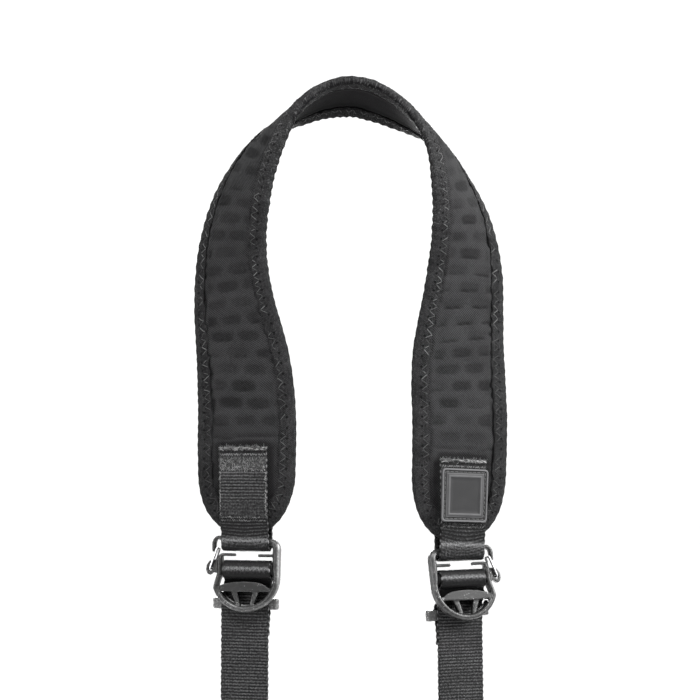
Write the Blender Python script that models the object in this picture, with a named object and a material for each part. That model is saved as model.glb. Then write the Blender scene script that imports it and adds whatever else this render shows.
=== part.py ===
"""A padded neck strap for binoculars, hanging from the nape of the neck.

The pad is a contoured band that runs from the left end, over the apex, to the right end. Its own
coordinates are along (arc length from the left end), across (towards the inner edge) and height
(out from the middle of the pad). The webbings and the cast buckles hang below the two ends.
The origin is on the pad's inner face at the apex, where it rests on the nape.
"""
import math

import bmesh
import bpy
import numpy as np
from mathutils import Vector

MM = 0.001

# Pad
HALF_SPAN = 60.0 * MM          # centre line from the middle to the widest place of an arm
DROP_LEFT = 222.5 * MM         # apex down to the left end of the pad
DROP_RIGHT = 227.0 * MM        # apex down to the right end of the pad
FORWARD = 23.0 * MM            # how far the ends come forward of the apex
PAD_WIDTH = 50.7 * MM          # widest place, over the edge binding
PAD_THICKNESS = 6.0 * MM       # middle of the foam core
CORE_EDGE = 1.0 * MM           # thickness of the core at its pressed edge
EDGE_RISE = 15.0 * MM          # from the edge to where the core is fully thick
END_LENGTH = 35.0 * MM         # rounded end of the pad
END_ROUNDNESS = 2.4            # 2 is an ellipse, more is squarer

# Edge binding
BINDING_REACH = 8.3 * MM       # how far the tape reaches in from the edge
BINDING_WALL = 1.0 * MM
BINDING_EDGE = 2.0 * MM        # radius of the folded edge, seen square to the pad

# Webbing
WEBBING_WIDTH = 24.8 * MM
WEBBING_WALL = 1.4 * MM
HEM_LEFT = 43.0 * MM           # the webbing's sewn end, above the pad's lower end
HEM_RIGHT = 41.0 * MM
HEM_STEP_LEFT = -0.8 * MM      # the sewn end's middle from the pad's centre line, inwards
HEM_STEP_RIGHT = 0.0 * MM
BACK_HEM = 30.0 * MM           # sewn end of the rear layer, above the pad's lower end
TAIL_LENGTH = 67.0 * MM        # from the middle of the buckle to the cut end
FREE_END = 30.0 * MM           # from the middle of the buckle to the end of the tail's rear layer

# Rubber patch on the right webbing
PATCH_WIDTH = 24.5 * MM
PATCH_HEIGHT = 26.3 * MM
PATCH_WALL = 1.7 * MM
PATCH_CORNER = 1.8 * MM
PATCH_UP = 23.3 * MM           # the patch's middle, above the pad's lower end
PATCH_RIM = 1.0 * MM           # width of the raised rim
PATCH_GROOVE = 0.7 * MM        # depth of the sewn groove inside the rim

# Cast buckle frame
FRAME_WIDTH = 35.2 * MM
FRAME_HEIGHT = 36.6 * MM
FRAME_DEPTH = 5.0 * MM
SIDE_WALL = 3.6 * MM
ARC_WALL = 2.8 * MM
TOP_BAR_HEIGHT = 4.4 * MM
TOP_BAR_DEPTH = 3.8 * MM
TOP_CORNER = 3.2 * MM          # centre-line radius between the top bar and the side
HOOK_WALL = 2.1 * MM           # nose of the hook
HOOK_DEPTH = 3.2 * MM
HOOK_BEND = 3.25 * MM          # centre-line radius of the nose
HOOK_RISE = 1.4 * MM           # top of the nose above the top bar
HOOK_OUT = 0.35 * MM           # outer side of the nose beyond the frame's width
HOOK_REACH = 4.0 * MM          # straight tip of the nose
THROAT_STEP = 2.95 * MM        # how far the side under the throat stands in from the frame's width
THROAT_WALL = 2.5 * MM
THROAT_RUN = 8.0 * MM          # height in which the side under the throat comes out to the arc
THROAT_JOIN = 200.0            # degrees round the arc where it joins
FINGER_HEIGHT = 1.6 * MM
FINGER_DEPTH = 3.0 * MM
FINGER_GAP = 12.0 * MM         # open middle of the split bar
FINGER_SHIFT = 0.3 * MM        # middle of that gap from the frame's middle, inwards
FINGER_UP = 10.1 * MM          # split bar above the frame's middle
FINGER_BEND = 1.9 * MM
ADJUSTER_HEIGHT = 5.5 * MM
ADJUSTER_DEPTH = 3.5 * MM
ADJUSTER_UP = 2.85 * MM        # adjuster bar above the frame's middle
LIP_HEIGHT = 5.0 * MM
LIP_DEPTH = 1.9 * MM
LIP_DOWN = 8.1 * MM            # lower edge of the lip bar below the frame's middle
LIP_SET = 0.8 * MM             # face of the lip bar behind the frame's face
RIB_WIDTH = 3.4 * MM
RIB_DEPTH = 2.8 * MM
RIB_SPREAD = 6.0 * MM          # top of each rib from the middle
LEDGE_WALL = 1.5 * MM
LEDGE_DEPTH = 1.0 * MM
LEDGE_SPAN = (212.0, 328.0)    # degrees of the arc that the ledge runs along
LUG_DEPTH = 2.6 * MM
LUG_SIZE = 7.0 * MM            # how far the lug stands out from the side
CHAMFER = 0.28                 # share of a casting's thinner side

# Wire gate
WIRE = 1.2 * MM
GATE_BEND = 1.1 * MM
PIVOT_OUT = 3.6 * MM           # gate's pivot from the side under the throat, outwards
GATE_DROP = 0.55               # gate's crossing below the nose's bend, a share of HOOK_REACH
PIVOT_UP = 3.0 * MM            # gate's pivot above the frame's middle

# Keeper bar behind the frame's lower arc
KEEPER_WIDTH = 34.0 * MM
KEEPER_HEIGHT = 5.6 * MM
KEEPER_WALL = 1.2 * MM
KEEPER_CORNER = 1.4 * MM
KEEPER_DOWN = 14.5 * MM        # keeper's middle below the frame's middle

# Where the buckles hang
BUCKLE_DROP_LEFT = 20.3 * MM   # middle of the buckle below the pad's end
BUCKLE_DROP_RIGHT = 21.0 * MM
BUCKLE_STEP_LEFT = 0.45 * MM   # middle of the buckle from the pad's centre line, inwards
BUCKLE_STEP_RIGHT = -1.65 * MM
LEAN_LEFT = -0.3               # degrees that the buckle's top leans inwards
LEAN_RIGHT = 0.5
PITCH_LEFT = 6.0               # degrees that the tail pushes the buckle's lower arc forward
PITCH_RIGHT = 15.0
KEEPER_LEAN_LEFT = 0.0         # degrees that the keeper's inner end hangs down
KEEPER_LEAN_RIGHT = 4.0
KEEPER_STEP_LEFT = -0.5 * MM    # the keeper's outline from the tail's middle, inwards
KEEPER_STEP_RIGHT = 0.0 * MM
TAIL_STEP_LEFT = -1.2 * MM     # the tail's middle from the buckle's middle, inwards
TAIL_STEP_RIGHT = 1.9 * MM
TAIL_SLANT_LEFT = 0.4 * MM     # how far the tail's cut end swings outwards
TAIL_SLANT_RIGHT = 1.0 * MM

GAP = 0.3 * MM                 # clearance between neighbours
LOOSE = 0.6 * MM               # the same where webbing bends round a bar or lies over the binding

# Rows from an end of the pad up to the apex: height is a share of the arm's drop, across of
# HALF_SPAN, forward of FORWARD and width of PAD_WIDTH. Turn says how far the outer face turns
# from the front to the side, and curl how far the edges bend back, both in degrees.
ARM = (
    # height, across left, across right, forward, turn left, turn right, width, curl
    (1.000, 0.895, 0.867, 1.00, 22, 17, 0.985, 3),
    (0.850, 0.893, 0.892, 0.96, 20, 14, 1.000, 3),
    (0.720, 0.890, 0.905, 0.83, 20, 12, 1.000, 4),
    (0.600, 0.928, 0.912, 0.57, 25, 11, 0.975, 6),
    (0.490, 0.993, 0.965, 0.30, 31, 14, 0.900, 10),
    (0.380, 1.013, 1.003, 0.13, 38, 21, 0.832, 14),
    (0.270, 0.960, 0.977, 0.04, 46, 39, 0.785, 18),
    (0.180, 0.850, 0.882, 0.00, 58, 58, 0.746, 22),
    (0.105, 0.688, 0.733, 0.00, 74, 78, 0.722, 24),
    (0.048, 0.473, 0.487, 0.00, 98, 101, 0.710, 26),
    (0.000, 0.000, 0.000, 0.00, 117, 117, 0.710, 26),
)
STATION = 10.0 * MM            # mean spacing of the pad's sections
CROWDING = 0.4                 # how much closer the sections stand over the top than down the arms
END_STEPS = 7                  # sections in each rounded end

# The lip bar's outline as shares of half the frame's width and of LIP_HEIGHT
LIP = (
    # across, up
    (-0.78, 0.00), (-0.78, 0.50), (-0.62, 0.76), (-0.35, 0.93), (-0.06, 1.00), (0.25, 0.96),
    (0.45, 0.85), (0.60, 0.62), (0.70, 0.36), (0.84, 0.34), (0.84, 0.00), (0.00, -0.05),
)
# The gate lug's outline as shares of LUG_SIZE, from the side under the throat and from the pivot
LUG = (
    # outwards, up
    (-0.15, 0.62), (0.30, 0.66), (0.62, 0.56), (0.82, 0.28), (0.86, -0.06), (0.76, -0.34),
    (0.58, -0.46), (0.44, -0.38), (0.32, -0.28), (0.14, -0.30), (-0.15, -0.24),
)
# How the upper webbing leaves the pad: up as a share of END_LENGTH, then how near it has come to
# the depth at which it passes the top bar
LEAVING = (
    # up, done
    (0.26, 0.00), (0.15, 0.45), (0.06, 0.80), (-0.03, 1.00),
)
# The tail's run between the adjuster bar and the back of the frame: up from the lip bar's top as a
# share of LIP_HEIGHT, then back from the frame's middle as a share of the way behind the frame
TAIL_FRONT = (
    # up, back
    (0.55, -0.58), (0.39, -0.23), (0.32, 0.09), (0.12, 0.34), (-0.10, 0.54), (-0.355, 0.83), (-0.645, 1.00),
)
TAIL_REAR = (
    # up, back
    (0.66, 0.81), (0.32, 0.85), (0.12, 0.82), (-0.10, 1.03), (-0.355, 1.32), (-0.645, 1.49),
)


def clear_scene():
    for obj in list(bpy.data.objects):
        bpy.data.objects.remove(obj, do_unlink=True)


def make_material(name, color, roughness, metallic=0.0):
    mat = bpy.data.materials.new(name)
    mat.use_nodes = True
    shader = mat.node_tree.nodes["Principled BSDF"]
    shader.inputs["Base Color"].default_value = (*color, 1.0)
    shader.inputs["Roughness"].default_value = roughness
    shader.inputs["Metallic"].default_value = metallic
    return mat


def add_solid(name, points, faces, mat, smooth_angle=40.0):
    """A closed body from its points and faces, with its faces turned outwards."""
    mesh = bpy.data.meshes.new(name)
    mesh.from_pydata([tuple(float(c) for c in p) for p in points], [], faces)
    bm = bmesh.new()
    bm.from_mesh(mesh)
    bmesh.ops.recalc_face_normals(bm, faces=bm.faces)
    bm.to_mesh(mesh)
    bm.free()
    mesh.shade_smooth()
    mesh.set_sharp_from_angle(angle=math.radians(smooth_angle))
    mesh.materials.append(mat)
    obj = bpy.data.objects.new(name, mesh)
    bpy.context.scene.collection.objects.link(obj)
    return obj


def loft(rings, closed=False):
    """Points and faces of a skin through rings of the same count, capped or closed on itself."""
    count = len(rings[0])
    points = [p for ring in rings for p in ring]
    faces = []
    pairs = len(rings) if closed else len(rings) - 1
    for i in range(pairs):
        a = i * count
        b = (i + 1) % len(rings) * count
        for j in range(count):
            k = (j + 1) % count
            faces.append((a + j, a + k, b + k, b + j))
    if not closed:
        last = (len(rings) - 1) * count
        faces.append(tuple(range(count))[::-1])
        faces.append(tuple(range(last, last + count)))
    return points, faces


def cubic(knots, values, at):
    """Natural cubic curve through a table's rows, read at the given places."""
    n = len(knots)
    step = np.diff(knots)
    matrix = np.eye(n)
    right = np.zeros_like(values)
    for i in range(1, n - 1):
        matrix[i, i - 1] = step[i - 1]
        matrix[i, i] = 2 * (step[i - 1] + step[i])
        matrix[i, i + 1] = step[i]
        rise = (values[i + 1] - values[i]) / step[i] - (values[i] - values[i - 1]) / step[i - 1]
        right[i] = 6 * rise
    bend = np.linalg.solve(matrix, right)
    i = np.clip(np.searchsorted(knots, at) - 1, 0, n - 2)
    d = (at - knots[i])[:, None]
    h = step[i][:, None]
    slope = (values[i + 1] - values[i]) / h - h * (2 * bend[i] + bend[i + 1]) / 6
    return (bend[i + 1] - bend[i]) / (6 * h) * d**3 + bend[i] / 2 * d**2 + slope * d + values[i]


def unit(rows):
    return rows / np.linalg.norm(rows, axis=1)[:, None]


class Ribbon:
    """The pad's middle surface, which its table of rows gives, and its straight run past both ends."""

    SAMPLES = 600

    def __init__(self):
        left = [(-r[1] * HALF_SPAN, -r[3] * FORWARD, -r[0] * DROP_LEFT, r[4], r[6], r[7]) for r in ARM]
        right = [(r[2] * HALF_SPAN, -r[3] * FORWARD, -r[0] * DROP_RIGHT, r[5], r[6], r[7]) for r in ARM]
        table = np.array(left + right[-2::-1], float)
        spans = np.linalg.norm(np.diff(table[:, :3], axis=0), axis=1)
        knots = np.concatenate([[0.0], np.cumsum(spans)])
        rows = cubic(knots, table, np.linspace(0.0, knots[-1], self.SAMPLES))
        self.centre = rows[:, :3]
        steps = np.linalg.norm(np.diff(self.centre, axis=0), axis=1)
        self.along = np.concatenate([[0.0], np.cumsum(steps)])
        self.length = float(self.along[-1])
        tangent = unit(np.gradient(self.centre, self.along, axis=0))
        front = np.array([0.0, -1.0, 0.0])
        front = unit(front - tangent * (tangent @ front)[:, None])
        turn = np.radians(rows[:, 3])[:, None]
        self.tangent = tangent
        self.normal = np.cos(turn) * front + np.sin(turn) * np.cross(front, tangent)
        apex = int(np.argmax(self.centre[:, 2]))
        self.centre = self.centre + self.normal[apex] * PAD_THICKNESS / 2
        self.half = rows[:, 4] * PAD_WIDTH / 2
        self.curl = np.radians(rows[:, 5])

    def read(self, column, along):
        column = column if column.ndim == 2 else column[:, None]
        picked = [np.interp(along, self.along, column[:, k]) for k in range(column.shape[1])]
        return np.stack(picked, axis=1)

    def place(self, along, across, height):
        """World points of places on the pad; all three are arrays or single numbers."""
        along, across, height = np.broadcast_arrays(*np.atleast_1d(along, across, height))
        tangent = unit(self.read(self.tangent, along))
        normal = unit(self.read(self.normal, along))
        past = along - np.clip(along, 0.0, self.length)
        centre = self.read(self.centre, along) + tangent * past[:, None]
        inward = np.cross(tangent, normal)
        bend = self.read(self.curl, along)[:, 0] / self.read(self.half, along)[:, 0]
        angle = bend * across
        radius = 1.0 / bend
        side = (radius + height) * np.sin(angle)
        rise = (radius + height) * np.cos(angle) - radius
        return centre + inward * side[:, None] + normal * rise[:, None]

    def outline(self, along, inset=0.0):
        """Half width of the pad's flat outline, moved in by inset."""
        along = np.atleast_1d(along)
        half = self.read(self.half, along)[:, 0] - inset
        from_end = np.minimum(along, self.length - along)
        share = np.clip((END_LENGTH - from_end) / (END_LENGTH - inset), 0.0, 1.0)
        return half * (1.0 - share**END_ROUNDNESS) ** (1.0 / END_ROUNDNESS)

    def core_height(self, along, across):
        """Half thickness of the core: full in the middle, pressed thin along the whole edge."""
        half = self.read(self.half, along)[:, 0]
        from_end = np.minimum(along, self.length - along)
        share = np.clip((END_LENGTH - from_end) / END_LENGTH, 0.0, None)
        reach = (share**END_ROUNDNESS + (np.abs(across) / half) ** END_ROUNDNESS) ** (1.0 / END_ROUNDNESS)
        straight = np.abs(across) / half
        reach = np.where(share > 0.0, np.minimum(reach, 1.0), straight)
        distance = (1.0 - reach) * half - core_inset()
        rise = np.sin(math.pi / 2 * np.clip(distance / EDGE_RISE, 0.0, 1.0))
        return CORE_EDGE / 2 + (PAD_THICKNESS - CORE_EDGE) / 2 * rise


def core_inset():
    """From the binding's outer edge to the core's edge."""
    return BINDING_WALL + 1.8 * GAP


def end_places(ribbon, inset):
    """Places along the pad: close together in the rounded ends, even between them."""
    angles = [math.pi / 2 * (k + 0.5) / END_STEPS for k in range(END_STEPS)]
    ends = [END_LENGTH - (END_LENGTH - inset) * math.cos(a) ** (2.0 / END_ROUNDNESS) for a in angles]
    count = max(2, round((ribbon.length - 2 * END_LENGTH) / STATION))
    share = np.linspace(0.0, 1.0, count + 1)
    share += CROWDING * np.sin(2 * math.pi * share) / (2 * math.pi)
    middle = END_LENGTH + (ribbon.length - 2 * END_LENGTH) * share
    return np.concatenate([ends, middle, [ribbon.length - e for e in reversed(ends)]])


def build_pad(ribbon, mat):
    """The foam core with its cloths, a band that is thick in the middle and thin at the edge."""
    shares = (0.0, 0.33, 0.6, 0.77, 0.9, 1.0)
    across = [-s for s in reversed(shares[1:])] + list(shares)
    rings = []
    for along in end_places(ribbon, core_inset()):
        half = float(ribbon.outline(along, core_inset())[0])
        v = np.array(across) * half
        u = np.full_like(v, along)
        height = ribbon.core_height(u, v)
        outer = ribbon.place(u, v, height)
        inner = ribbon.place(u, v, -height)
        rings.append(list(outer) + list(inner[::-1]))
    points, faces = loft(rings)
    return add_solid("neck_pad", points, faces, mat)


def perimeter(ribbon):
    """The pad's flat outline once round: places along and across, and outward directions."""
    along = end_places(ribbon, 0.0)
    half = ribbon.outline(along)
    near = np.stack([along, half], axis=1)
    far = np.stack([along[::-1], -half[::-1]], axis=1)
    loop = np.concatenate([[[0.0, 0.0]], near, [[ribbon.length, 0.0]], far])
    ahead = unit(np.roll(loop, -1, axis=0) - np.roll(loop, 1, axis=0))
    outward = np.stack([-ahead[:, 1], ahead[:, 0]], axis=1)
    between = (loop[:, 0] > END_LENGTH) & (loop[:, 0] < ribbon.length - END_LENGTH)
    outward[between] = np.sign(loop[between]) * (0.0, 1.0)
    return loop, outward


def tape_section():
    """The folded tape's section: inset from the edge, share of the height there, outer or inner skin."""
    fold = math.radians(45)
    reach = (BINDING_REACH, 0.6 * BINDING_REACH, BINDING_EDGE)
    top = [(p, 1.0) for p in reach]
    low = [(p, -1.0) for p in reversed(reach)]
    bend = BINDING_EDGE * (1 - math.cos(fold))
    outer = top + [(bend, math.sin(fold)), (0.0, 0.0), (bend, -math.sin(fold))] + low
    turn = BINDING_WALL + (BINDING_EDGE - BINDING_WALL) * (1 - math.cos(fold))
    inner = top + [(turn, math.sin(fold)), (BINDING_WALL, 0.0), (turn, -math.sin(fold))] + low
    return [(p, f, 1) for p, f in outer] + [(p, f, 0) for p, f in reversed(inner)]


def build_binding(ribbon, mat):
    """Tape folded over the edge of the core and carried once round the pad."""
    loop, outward = perimeter(ribbon)
    rings = []
    for place, out in zip(loop, outward):
        ring = []
        for inset, share, skin in tape_section():
            level = place - out * max(inset, BINDING_EDGE)
            core = float(ribbon.core_height(level[:1], level[1:])[0])
            flat = place - out * inset
            ring.append((flat[0], flat[1], share * (core + 1.8 * GAP + skin * BINDING_WALL)))
        ring = np.array(ring)
        rings.append(list(ribbon.place(ring[:, 0], ring[:, 1], ring[:, 2])))
    points, faces = loft(rings, closed=True)
    return add_solid("edge_binding", points, faces, mat)


class Side:
    """One end of the strap: its pad end, and the upright and leaning axes that its buckle hangs on."""

    def __init__(self, ribbon, name):
        self.ribbon = ribbon
        self.name = name
        left = name == "left"
        self.mirror = 1.0 if left else -1.0
        self.hem = HEM_LEFT if left else HEM_RIGHT
        self.hem_step = HEM_STEP_LEFT if left else HEM_STEP_RIGHT
        self.tail_step = TAIL_STEP_LEFT if left else TAIL_STEP_RIGHT
        self.tail_slant = TAIL_SLANT_LEFT if left else TAIL_SLANT_RIGHT
        step = BUCKLE_STEP_LEFT if left else BUCKLE_STEP_RIGHT
        drop = BUCKLE_DROP_LEFT if left else BUCKLE_DROP_RIGHT
        turn = math.radians(ARM[0][4] if left else ARM[0][5])
        lean = math.radians(LEAN_LEFT if left else LEAN_RIGHT)
        pitch = math.radians(PITCH_LEFT if left else PITCH_RIGHT)
        self.keeper_lean = math.radians(KEEPER_LEAN_LEFT if left else KEEPER_LEAN_RIGHT)
        self.keeper_step = KEEPER_STEP_LEFT if left else KEEPER_STEP_RIGHT
        self.front = Vector((-self.mirror * math.sin(turn), -math.cos(turn), 0.0))
        self.inward = Vector((self.mirror * math.cos(turn), -math.sin(turn), 0.0))
        self.up = Vector((0.0, 0.0, 1.0))
        level_up = self.up * math.cos(lean) + self.inward * math.sin(lean)
        self.lean_in = self.inward * math.cos(lean) - self.up * math.sin(lean)
        self.lean_up = level_up * math.cos(pitch) - self.front * math.sin(pitch)
        self.lean_front = self.front * math.cos(pitch) + level_up * math.sin(pitch)
        self.end = self.on_pad(0.0, 0.0, 0.0)
        forward = top_bar_up() * math.sin(pitch)
        self.middle = self.end + self.inward * step - self.up * drop + self.front * forward
        self.top_bar = self.leaning(0.0, top_bar_up(), 0.0)
        self.bar_step = (self.top_bar - self.end).dot(self.inward)
        self.keeper_edge = KEEPER_HEIGHT / 2 + WEBBING_WIDTH / 2 * math.sin(self.keeper_lean) + GAP
        self.hang = (KEEPER_DOWN - self.keeper_edge) * math.sin(pitch)

    def on_pad(self, up, inward, height):
        """A place on the pad, up from its lower end."""
        along = up if self.name == "left" else self.ribbon.length - up
        return Vector(self.ribbon.place(along, inward, height)[0])

    def webbing_step(self, up):
        """The upper webbing's middle from the pad's centre line, which runs evenly from hem to top bar."""
        return self.hem_step + (self.bar_step - self.hem_step) * (1 - up / self.hem)

    def tail_inward(self, up):
        """The tail's middle from the buckle's middle, at a height from it."""
        return self.tail_step + self.tail_slant * up / TAIL_LENGTH

    def upright(self, inward, up, front):
        return self.middle + self.inward * inward + self.up * up + self.front * (front + self.hang)

    def leaning(self, inward, up, front):
        return self.middle + self.lean_in * inward + self.lean_up * up + self.lean_front * front


def strap(name, stations, mat):
    """Flat webbing through stations, each a middle point and a direction across."""
    rings = []
    count = len(stations)
    for i, (middle, across) in enumerate(stations):
        ahead = stations[min(i + 1, count - 1)][0] - stations[max(i - 1, 0)][0]
        face = across.cross(ahead).normalized() * WEBBING_WALL / 2
        side = across.normalized() * WEBBING_WIDTH / 2
        low = middle - face
        high = middle + face
        rings.append([low - side, low + side, high + side, high - side])
    points, faces = loft(rings)
    return add_solid(name, points, faces, mat, smooth_angle=50.0)


def top_bar_up():
    return FRAME_HEIGHT / 2 - TOP_BAR_HEIGHT / 2


def strand_height():
    """Middle of the webbing above the middle of the pad."""
    return PAD_THICKNESS / 2 + GAP + LOOSE + WEBBING_WALL / 2


def build_upper_webbing(side, mat):
    """Sewn on the front of the pad's end, round the buckle's top bar and up behind the pad again."""
    around = TOP_BAR_DEPTH / 2 + LOOSE + WEBBING_WALL / 2
    below = TOP_BAR_HEIGHT / 2 + LOOSE + WEBBING_WALL / 2 + 0.4 * GAP

    def on_pad(up, done, face):
        inward = side.webbing_step(up)
        height = face * (strand_height() + (around - strand_height()) * done)
        middle = side.on_pad(up, inward, height)
        return middle, side.on_pad(up, inward + MM, height) - side.on_pad(up, inward - MM, height)

    front = [on_pad(side.hem * s, 0.0, 1) for s in (1.0, 0.8, 0.6, 0.4)]
    front += [on_pad(END_LENGTH * s, done, 1) for s, done in LEAVING]
    bend = []
    for k in range(9):
        angle = math.pi * k / 8
        offset = side.front * (around * math.cos(angle)) - side.up * (below * math.sin(angle))
        bend.append((side.top_bar + offset, side.lean_in))
    back = [on_pad(END_LENGTH * s, done, -1) for s, done in reversed(LEAVING)]
    back += [on_pad(BACK_HEM * s, 0.0, -1) for s in (0.5, 0.75, 1.0)]
    return strap("upper_webbing_" + side.name, front + bend + back, mat)


def behind_frame():
    """Middle of the webbing that runs down behind the buckle frame."""
    return -(FRAME_DEPTH / 2 + GAP + WEBBING_WALL / 2)


def build_tail(side, mat):
    """Up behind the frame's arc, forward and over the adjuster bar, and down behind itself."""
    layer = WEBBING_WALL + GAP
    around = ADJUSTER_DEPTH / 2 + LOOSE + WEBBING_WALL / 2
    over = ADJUSTER_HEIGHT / 2 + LOOSE + WEBBING_WALL / 2
    rear = behind_frame()
    keeper_rear = rear - layer - KEEPER_WALL - GAP
    keeper_top = -KEEPER_DOWN + side.keeper_edge
    keeper_low = -KEEPER_DOWN - side.keeper_edge
    lip_top = LIP_HEIGHT - LIP_DOWN
    window = (THROAT_STEP + THROAT_WALL - SIDE_WALL) / 2

    def hanging(up, front):
        return side.upright(side.tail_inward(up), up, front), side.inward

    def through(up, back):
        inward = window * (0.35 if up < 0 else 1.0)
        return side.leaning(inward, lip_top + up * LIP_HEIGHT, back * rear), side.lean_in

    stations = [hanging(-s * TAIL_LENGTH, rear) for s in (1.0, 0.8, 0.6, 0.4)]
    stations += [hanging(-KEEPER_DOWN, rear), hanging(keeper_top, rear)]
    stations += [through(up, back) for up, back in reversed(TAIL_FRONT)]
    for k in range(9):
        angle = math.pi * k / 8
        up = ADJUSTER_UP + over * math.sin(angle)
        stations.append((side.leaning(window, up, around * math.cos(angle)), side.lean_in))
    stations += [through(up, back) for up, back in TAIL_REAR]
    stations += [hanging(keeper_top, keeper_rear), hanging(keeper_low, keeper_rear)]
    stations.append(hanging(-0.68 * FREE_END, keeper_rear + 0.5 * layer))
    stations += [hanging(-s * FREE_END, rear - layer) for s in (0.84, 1.0)]
    return strap("tail_webbing_" + side.name, stations, mat)


def bar_section(wall, depth):
    """A rectangle with chamfered corners: out from the bar's middle line, and forward."""
    cut = CHAMFER * min(wall, depth)
    a = wall / 2
    b = depth / 2
    return ((a, cut - b), (a, b - cut), (a - cut, b), (cut - a, b), (-a, b - cut), (-a, cut - b),
            (cut - a, -b), (a - cut, -b))


def cast_bar(side, name, stations, mat, front=0.0):
    """A bar through stations: across, up, direction of its outer side, wall and depth."""
    rings = []
    for x, z, angle, wall, depth in stations:
        c = math.cos(math.radians(angle))
        s = math.sin(math.radians(angle))
        section = bar_section(wall, depth)
        rings.append([side.leaning(x + c * a, z + s * a, front + b) for a, b in section])
    points, faces = loft(rings)
    return add_solid(name, points, faces, mat)


def bend_stations(x, z, radius, angles, steps, walls, depths):
    """Stations along an arc from one angle to another, its wall and depth changing evenly."""
    rows = []
    for k in range(steps + 1):
        share = k / steps
        angle = angles[0] + (angles[1] - angles[0]) * share
        out = math.radians(angle)
        wall = walls[0] + (walls[1] - walls[0]) * share
        depth = depths[0] + (depths[1] - depths[0]) * share
        rows.append((x + radius * math.cos(out), z + radius * math.sin(out), angle, wall, depth))
    return rows


def plate(side, name, outline, rear, front, mat):
    """A flat plate with an outline of across and up, between two depths."""
    rings = [[side.leaning(x, z, depth) for x, z in outline] for depth in (rear, front)]
    points, faces = loft(rings)
    return add_solid(name, points, faces, mat)


def throat_side():
    """Middle line and outer face of the side under the throat."""
    outer = -(FRAME_WIDTH / 2 - THROAT_STEP)
    return outer + THROAT_WALL / 2, outer


def nose_bend():
    """Middle of the nose's bend."""
    x = -(FRAME_WIDTH / 2 + HOOK_OUT - HOOK_WALL / 2 - HOOK_BEND)
    return x, FRAME_HEIGHT / 2 + HOOK_RISE - HOOK_WALL / 2 - HOOK_BEND


def frame_stations():
    """The frame's bar in one run: outer finger, side, lower arc, inner side, top bar, nose."""
    half = FRAME_WIDTH / 2
    side_line, _ = throat_side()
    arc_up = half - FRAME_HEIGHT / 2
    arc_radius = half - ARC_WALL / 2
    inner_line = half - SIDE_WALL / 2
    corner_x = inner_line - TOP_CORNER
    corner_up = top_bar_up() - TOP_CORNER
    nose_x, nose_up = nose_bend()
    rows = [(FINGER_SHIFT - FINGER_GAP / 2, FINGER_UP, 90, FINGER_HEIGHT, FINGER_DEPTH)]
    rows += bend_stations(side_line + FINGER_BEND, FINGER_UP - FINGER_BEND, FINGER_BEND, (90, 180), 4,
                          (FINGER_HEIGHT, THROAT_WALL), (FINGER_DEPTH, FRAME_DEPTH))
    join = math.radians(THROAT_JOIN)
    join_x = arc_radius * math.cos(join)
    join_up = arc_up + arc_radius * math.sin(join)
    for share in (0.0, 0.3, 0.6, 0.85):
        ease = share * share * (3 - 2 * share)
        x = side_line + (join_x - side_line) * ease
        wall = THROAT_WALL + (ARC_WALL - THROAT_WALL) * ease
        angle = 180 + (THROAT_JOIN - 180) * ease
        rows.append((x, join_up + THROAT_RUN * (1 - share), angle, wall, FRAME_DEPTH))
    rows += bend_stations(0.0, arc_up, arc_radius, (THROAT_JOIN, 360), 16, (ARC_WALL, ARC_WALL),
                          (FRAME_DEPTH, FRAME_DEPTH))
    rows.append((inner_line, arc_up + 0.4 * THROAT_RUN, 0, SIDE_WALL, FRAME_DEPTH))
    rows += bend_stations(corner_x, corner_up, TOP_CORNER, (0, 90), 5, (SIDE_WALL, TOP_BAR_HEIGHT),
                          (FRAME_DEPTH, TOP_BAR_DEPTH))
    rows.append((nose_x + HOOK_WALL / 2, top_bar_up(), 90, TOP_BAR_HEIGHT, TOP_BAR_DEPTH))
    rows += bend_stations(nose_x, nose_up, HOOK_BEND, (90, 180), 5, (HOOK_WALL, HOOK_WALL),
                          (HOOK_DEPTH, HOOK_DEPTH))
    tip = nose_up - HOOK_REACH
    rows.append((nose_x - HOOK_BEND, tip, 180, 0.8 * HOOK_WALL, 0.8 * HOOK_DEPTH))
    return rows


def pivot():
    """The gate's pivot, across and up."""
    _, outer = throat_side()
    return outer - PIVOT_OUT, PIVOT_UP


def build_adjuster(side, mat):
    _, outer = throat_side()
    rings = []
    for x in (outer + 0.5 * THROAT_WALL, FRAME_WIDTH / 2 - 0.5 * SIDE_WALL):
        ring = []
        for k in range(16):
            angle = 2 * math.pi * k / 16
            up = ADJUSTER_UP + ADJUSTER_HEIGHT / 2 * math.sin(angle)
            ring.append(side.leaning(x, up, ADJUSTER_DEPTH / 2 * math.cos(angle)))
        rings.append(ring)
    points, faces = loft(rings)
    return add_solid("adjuster_part", points, faces, mat)


def pivot_cutter(side, mat):
    """The hole that the gate's pins turn in."""
    x, up = pivot()
    radius = WIRE / 2 + 1.3 * GAP
    angles = [2 * math.pi * k / 12 for k in range(12)]
    outline = [(x + radius * math.cos(a), up + radius * math.sin(a)) for a in angles]
    rings = [[side.leaning(px, pz, depth) for px, pz in outline] for depth in (-LUG_DEPTH, LUG_DEPTH)]
    points, faces = loft(rings)
    return add_solid("pivot_hole", points, faces, mat)


def combine(obj, other, operation):
    """Joins another solid to an object, or cuts it away, and leaves the other as a hidden guide."""
    other.hide_render = True
    other.display_type = "WIRE"
    modifier = obj.modifiers.new(operation.lower(), "BOOLEAN")
    modifier.operation = operation
    modifier.object = other
    modifier.solver = "EXACT"


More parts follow.
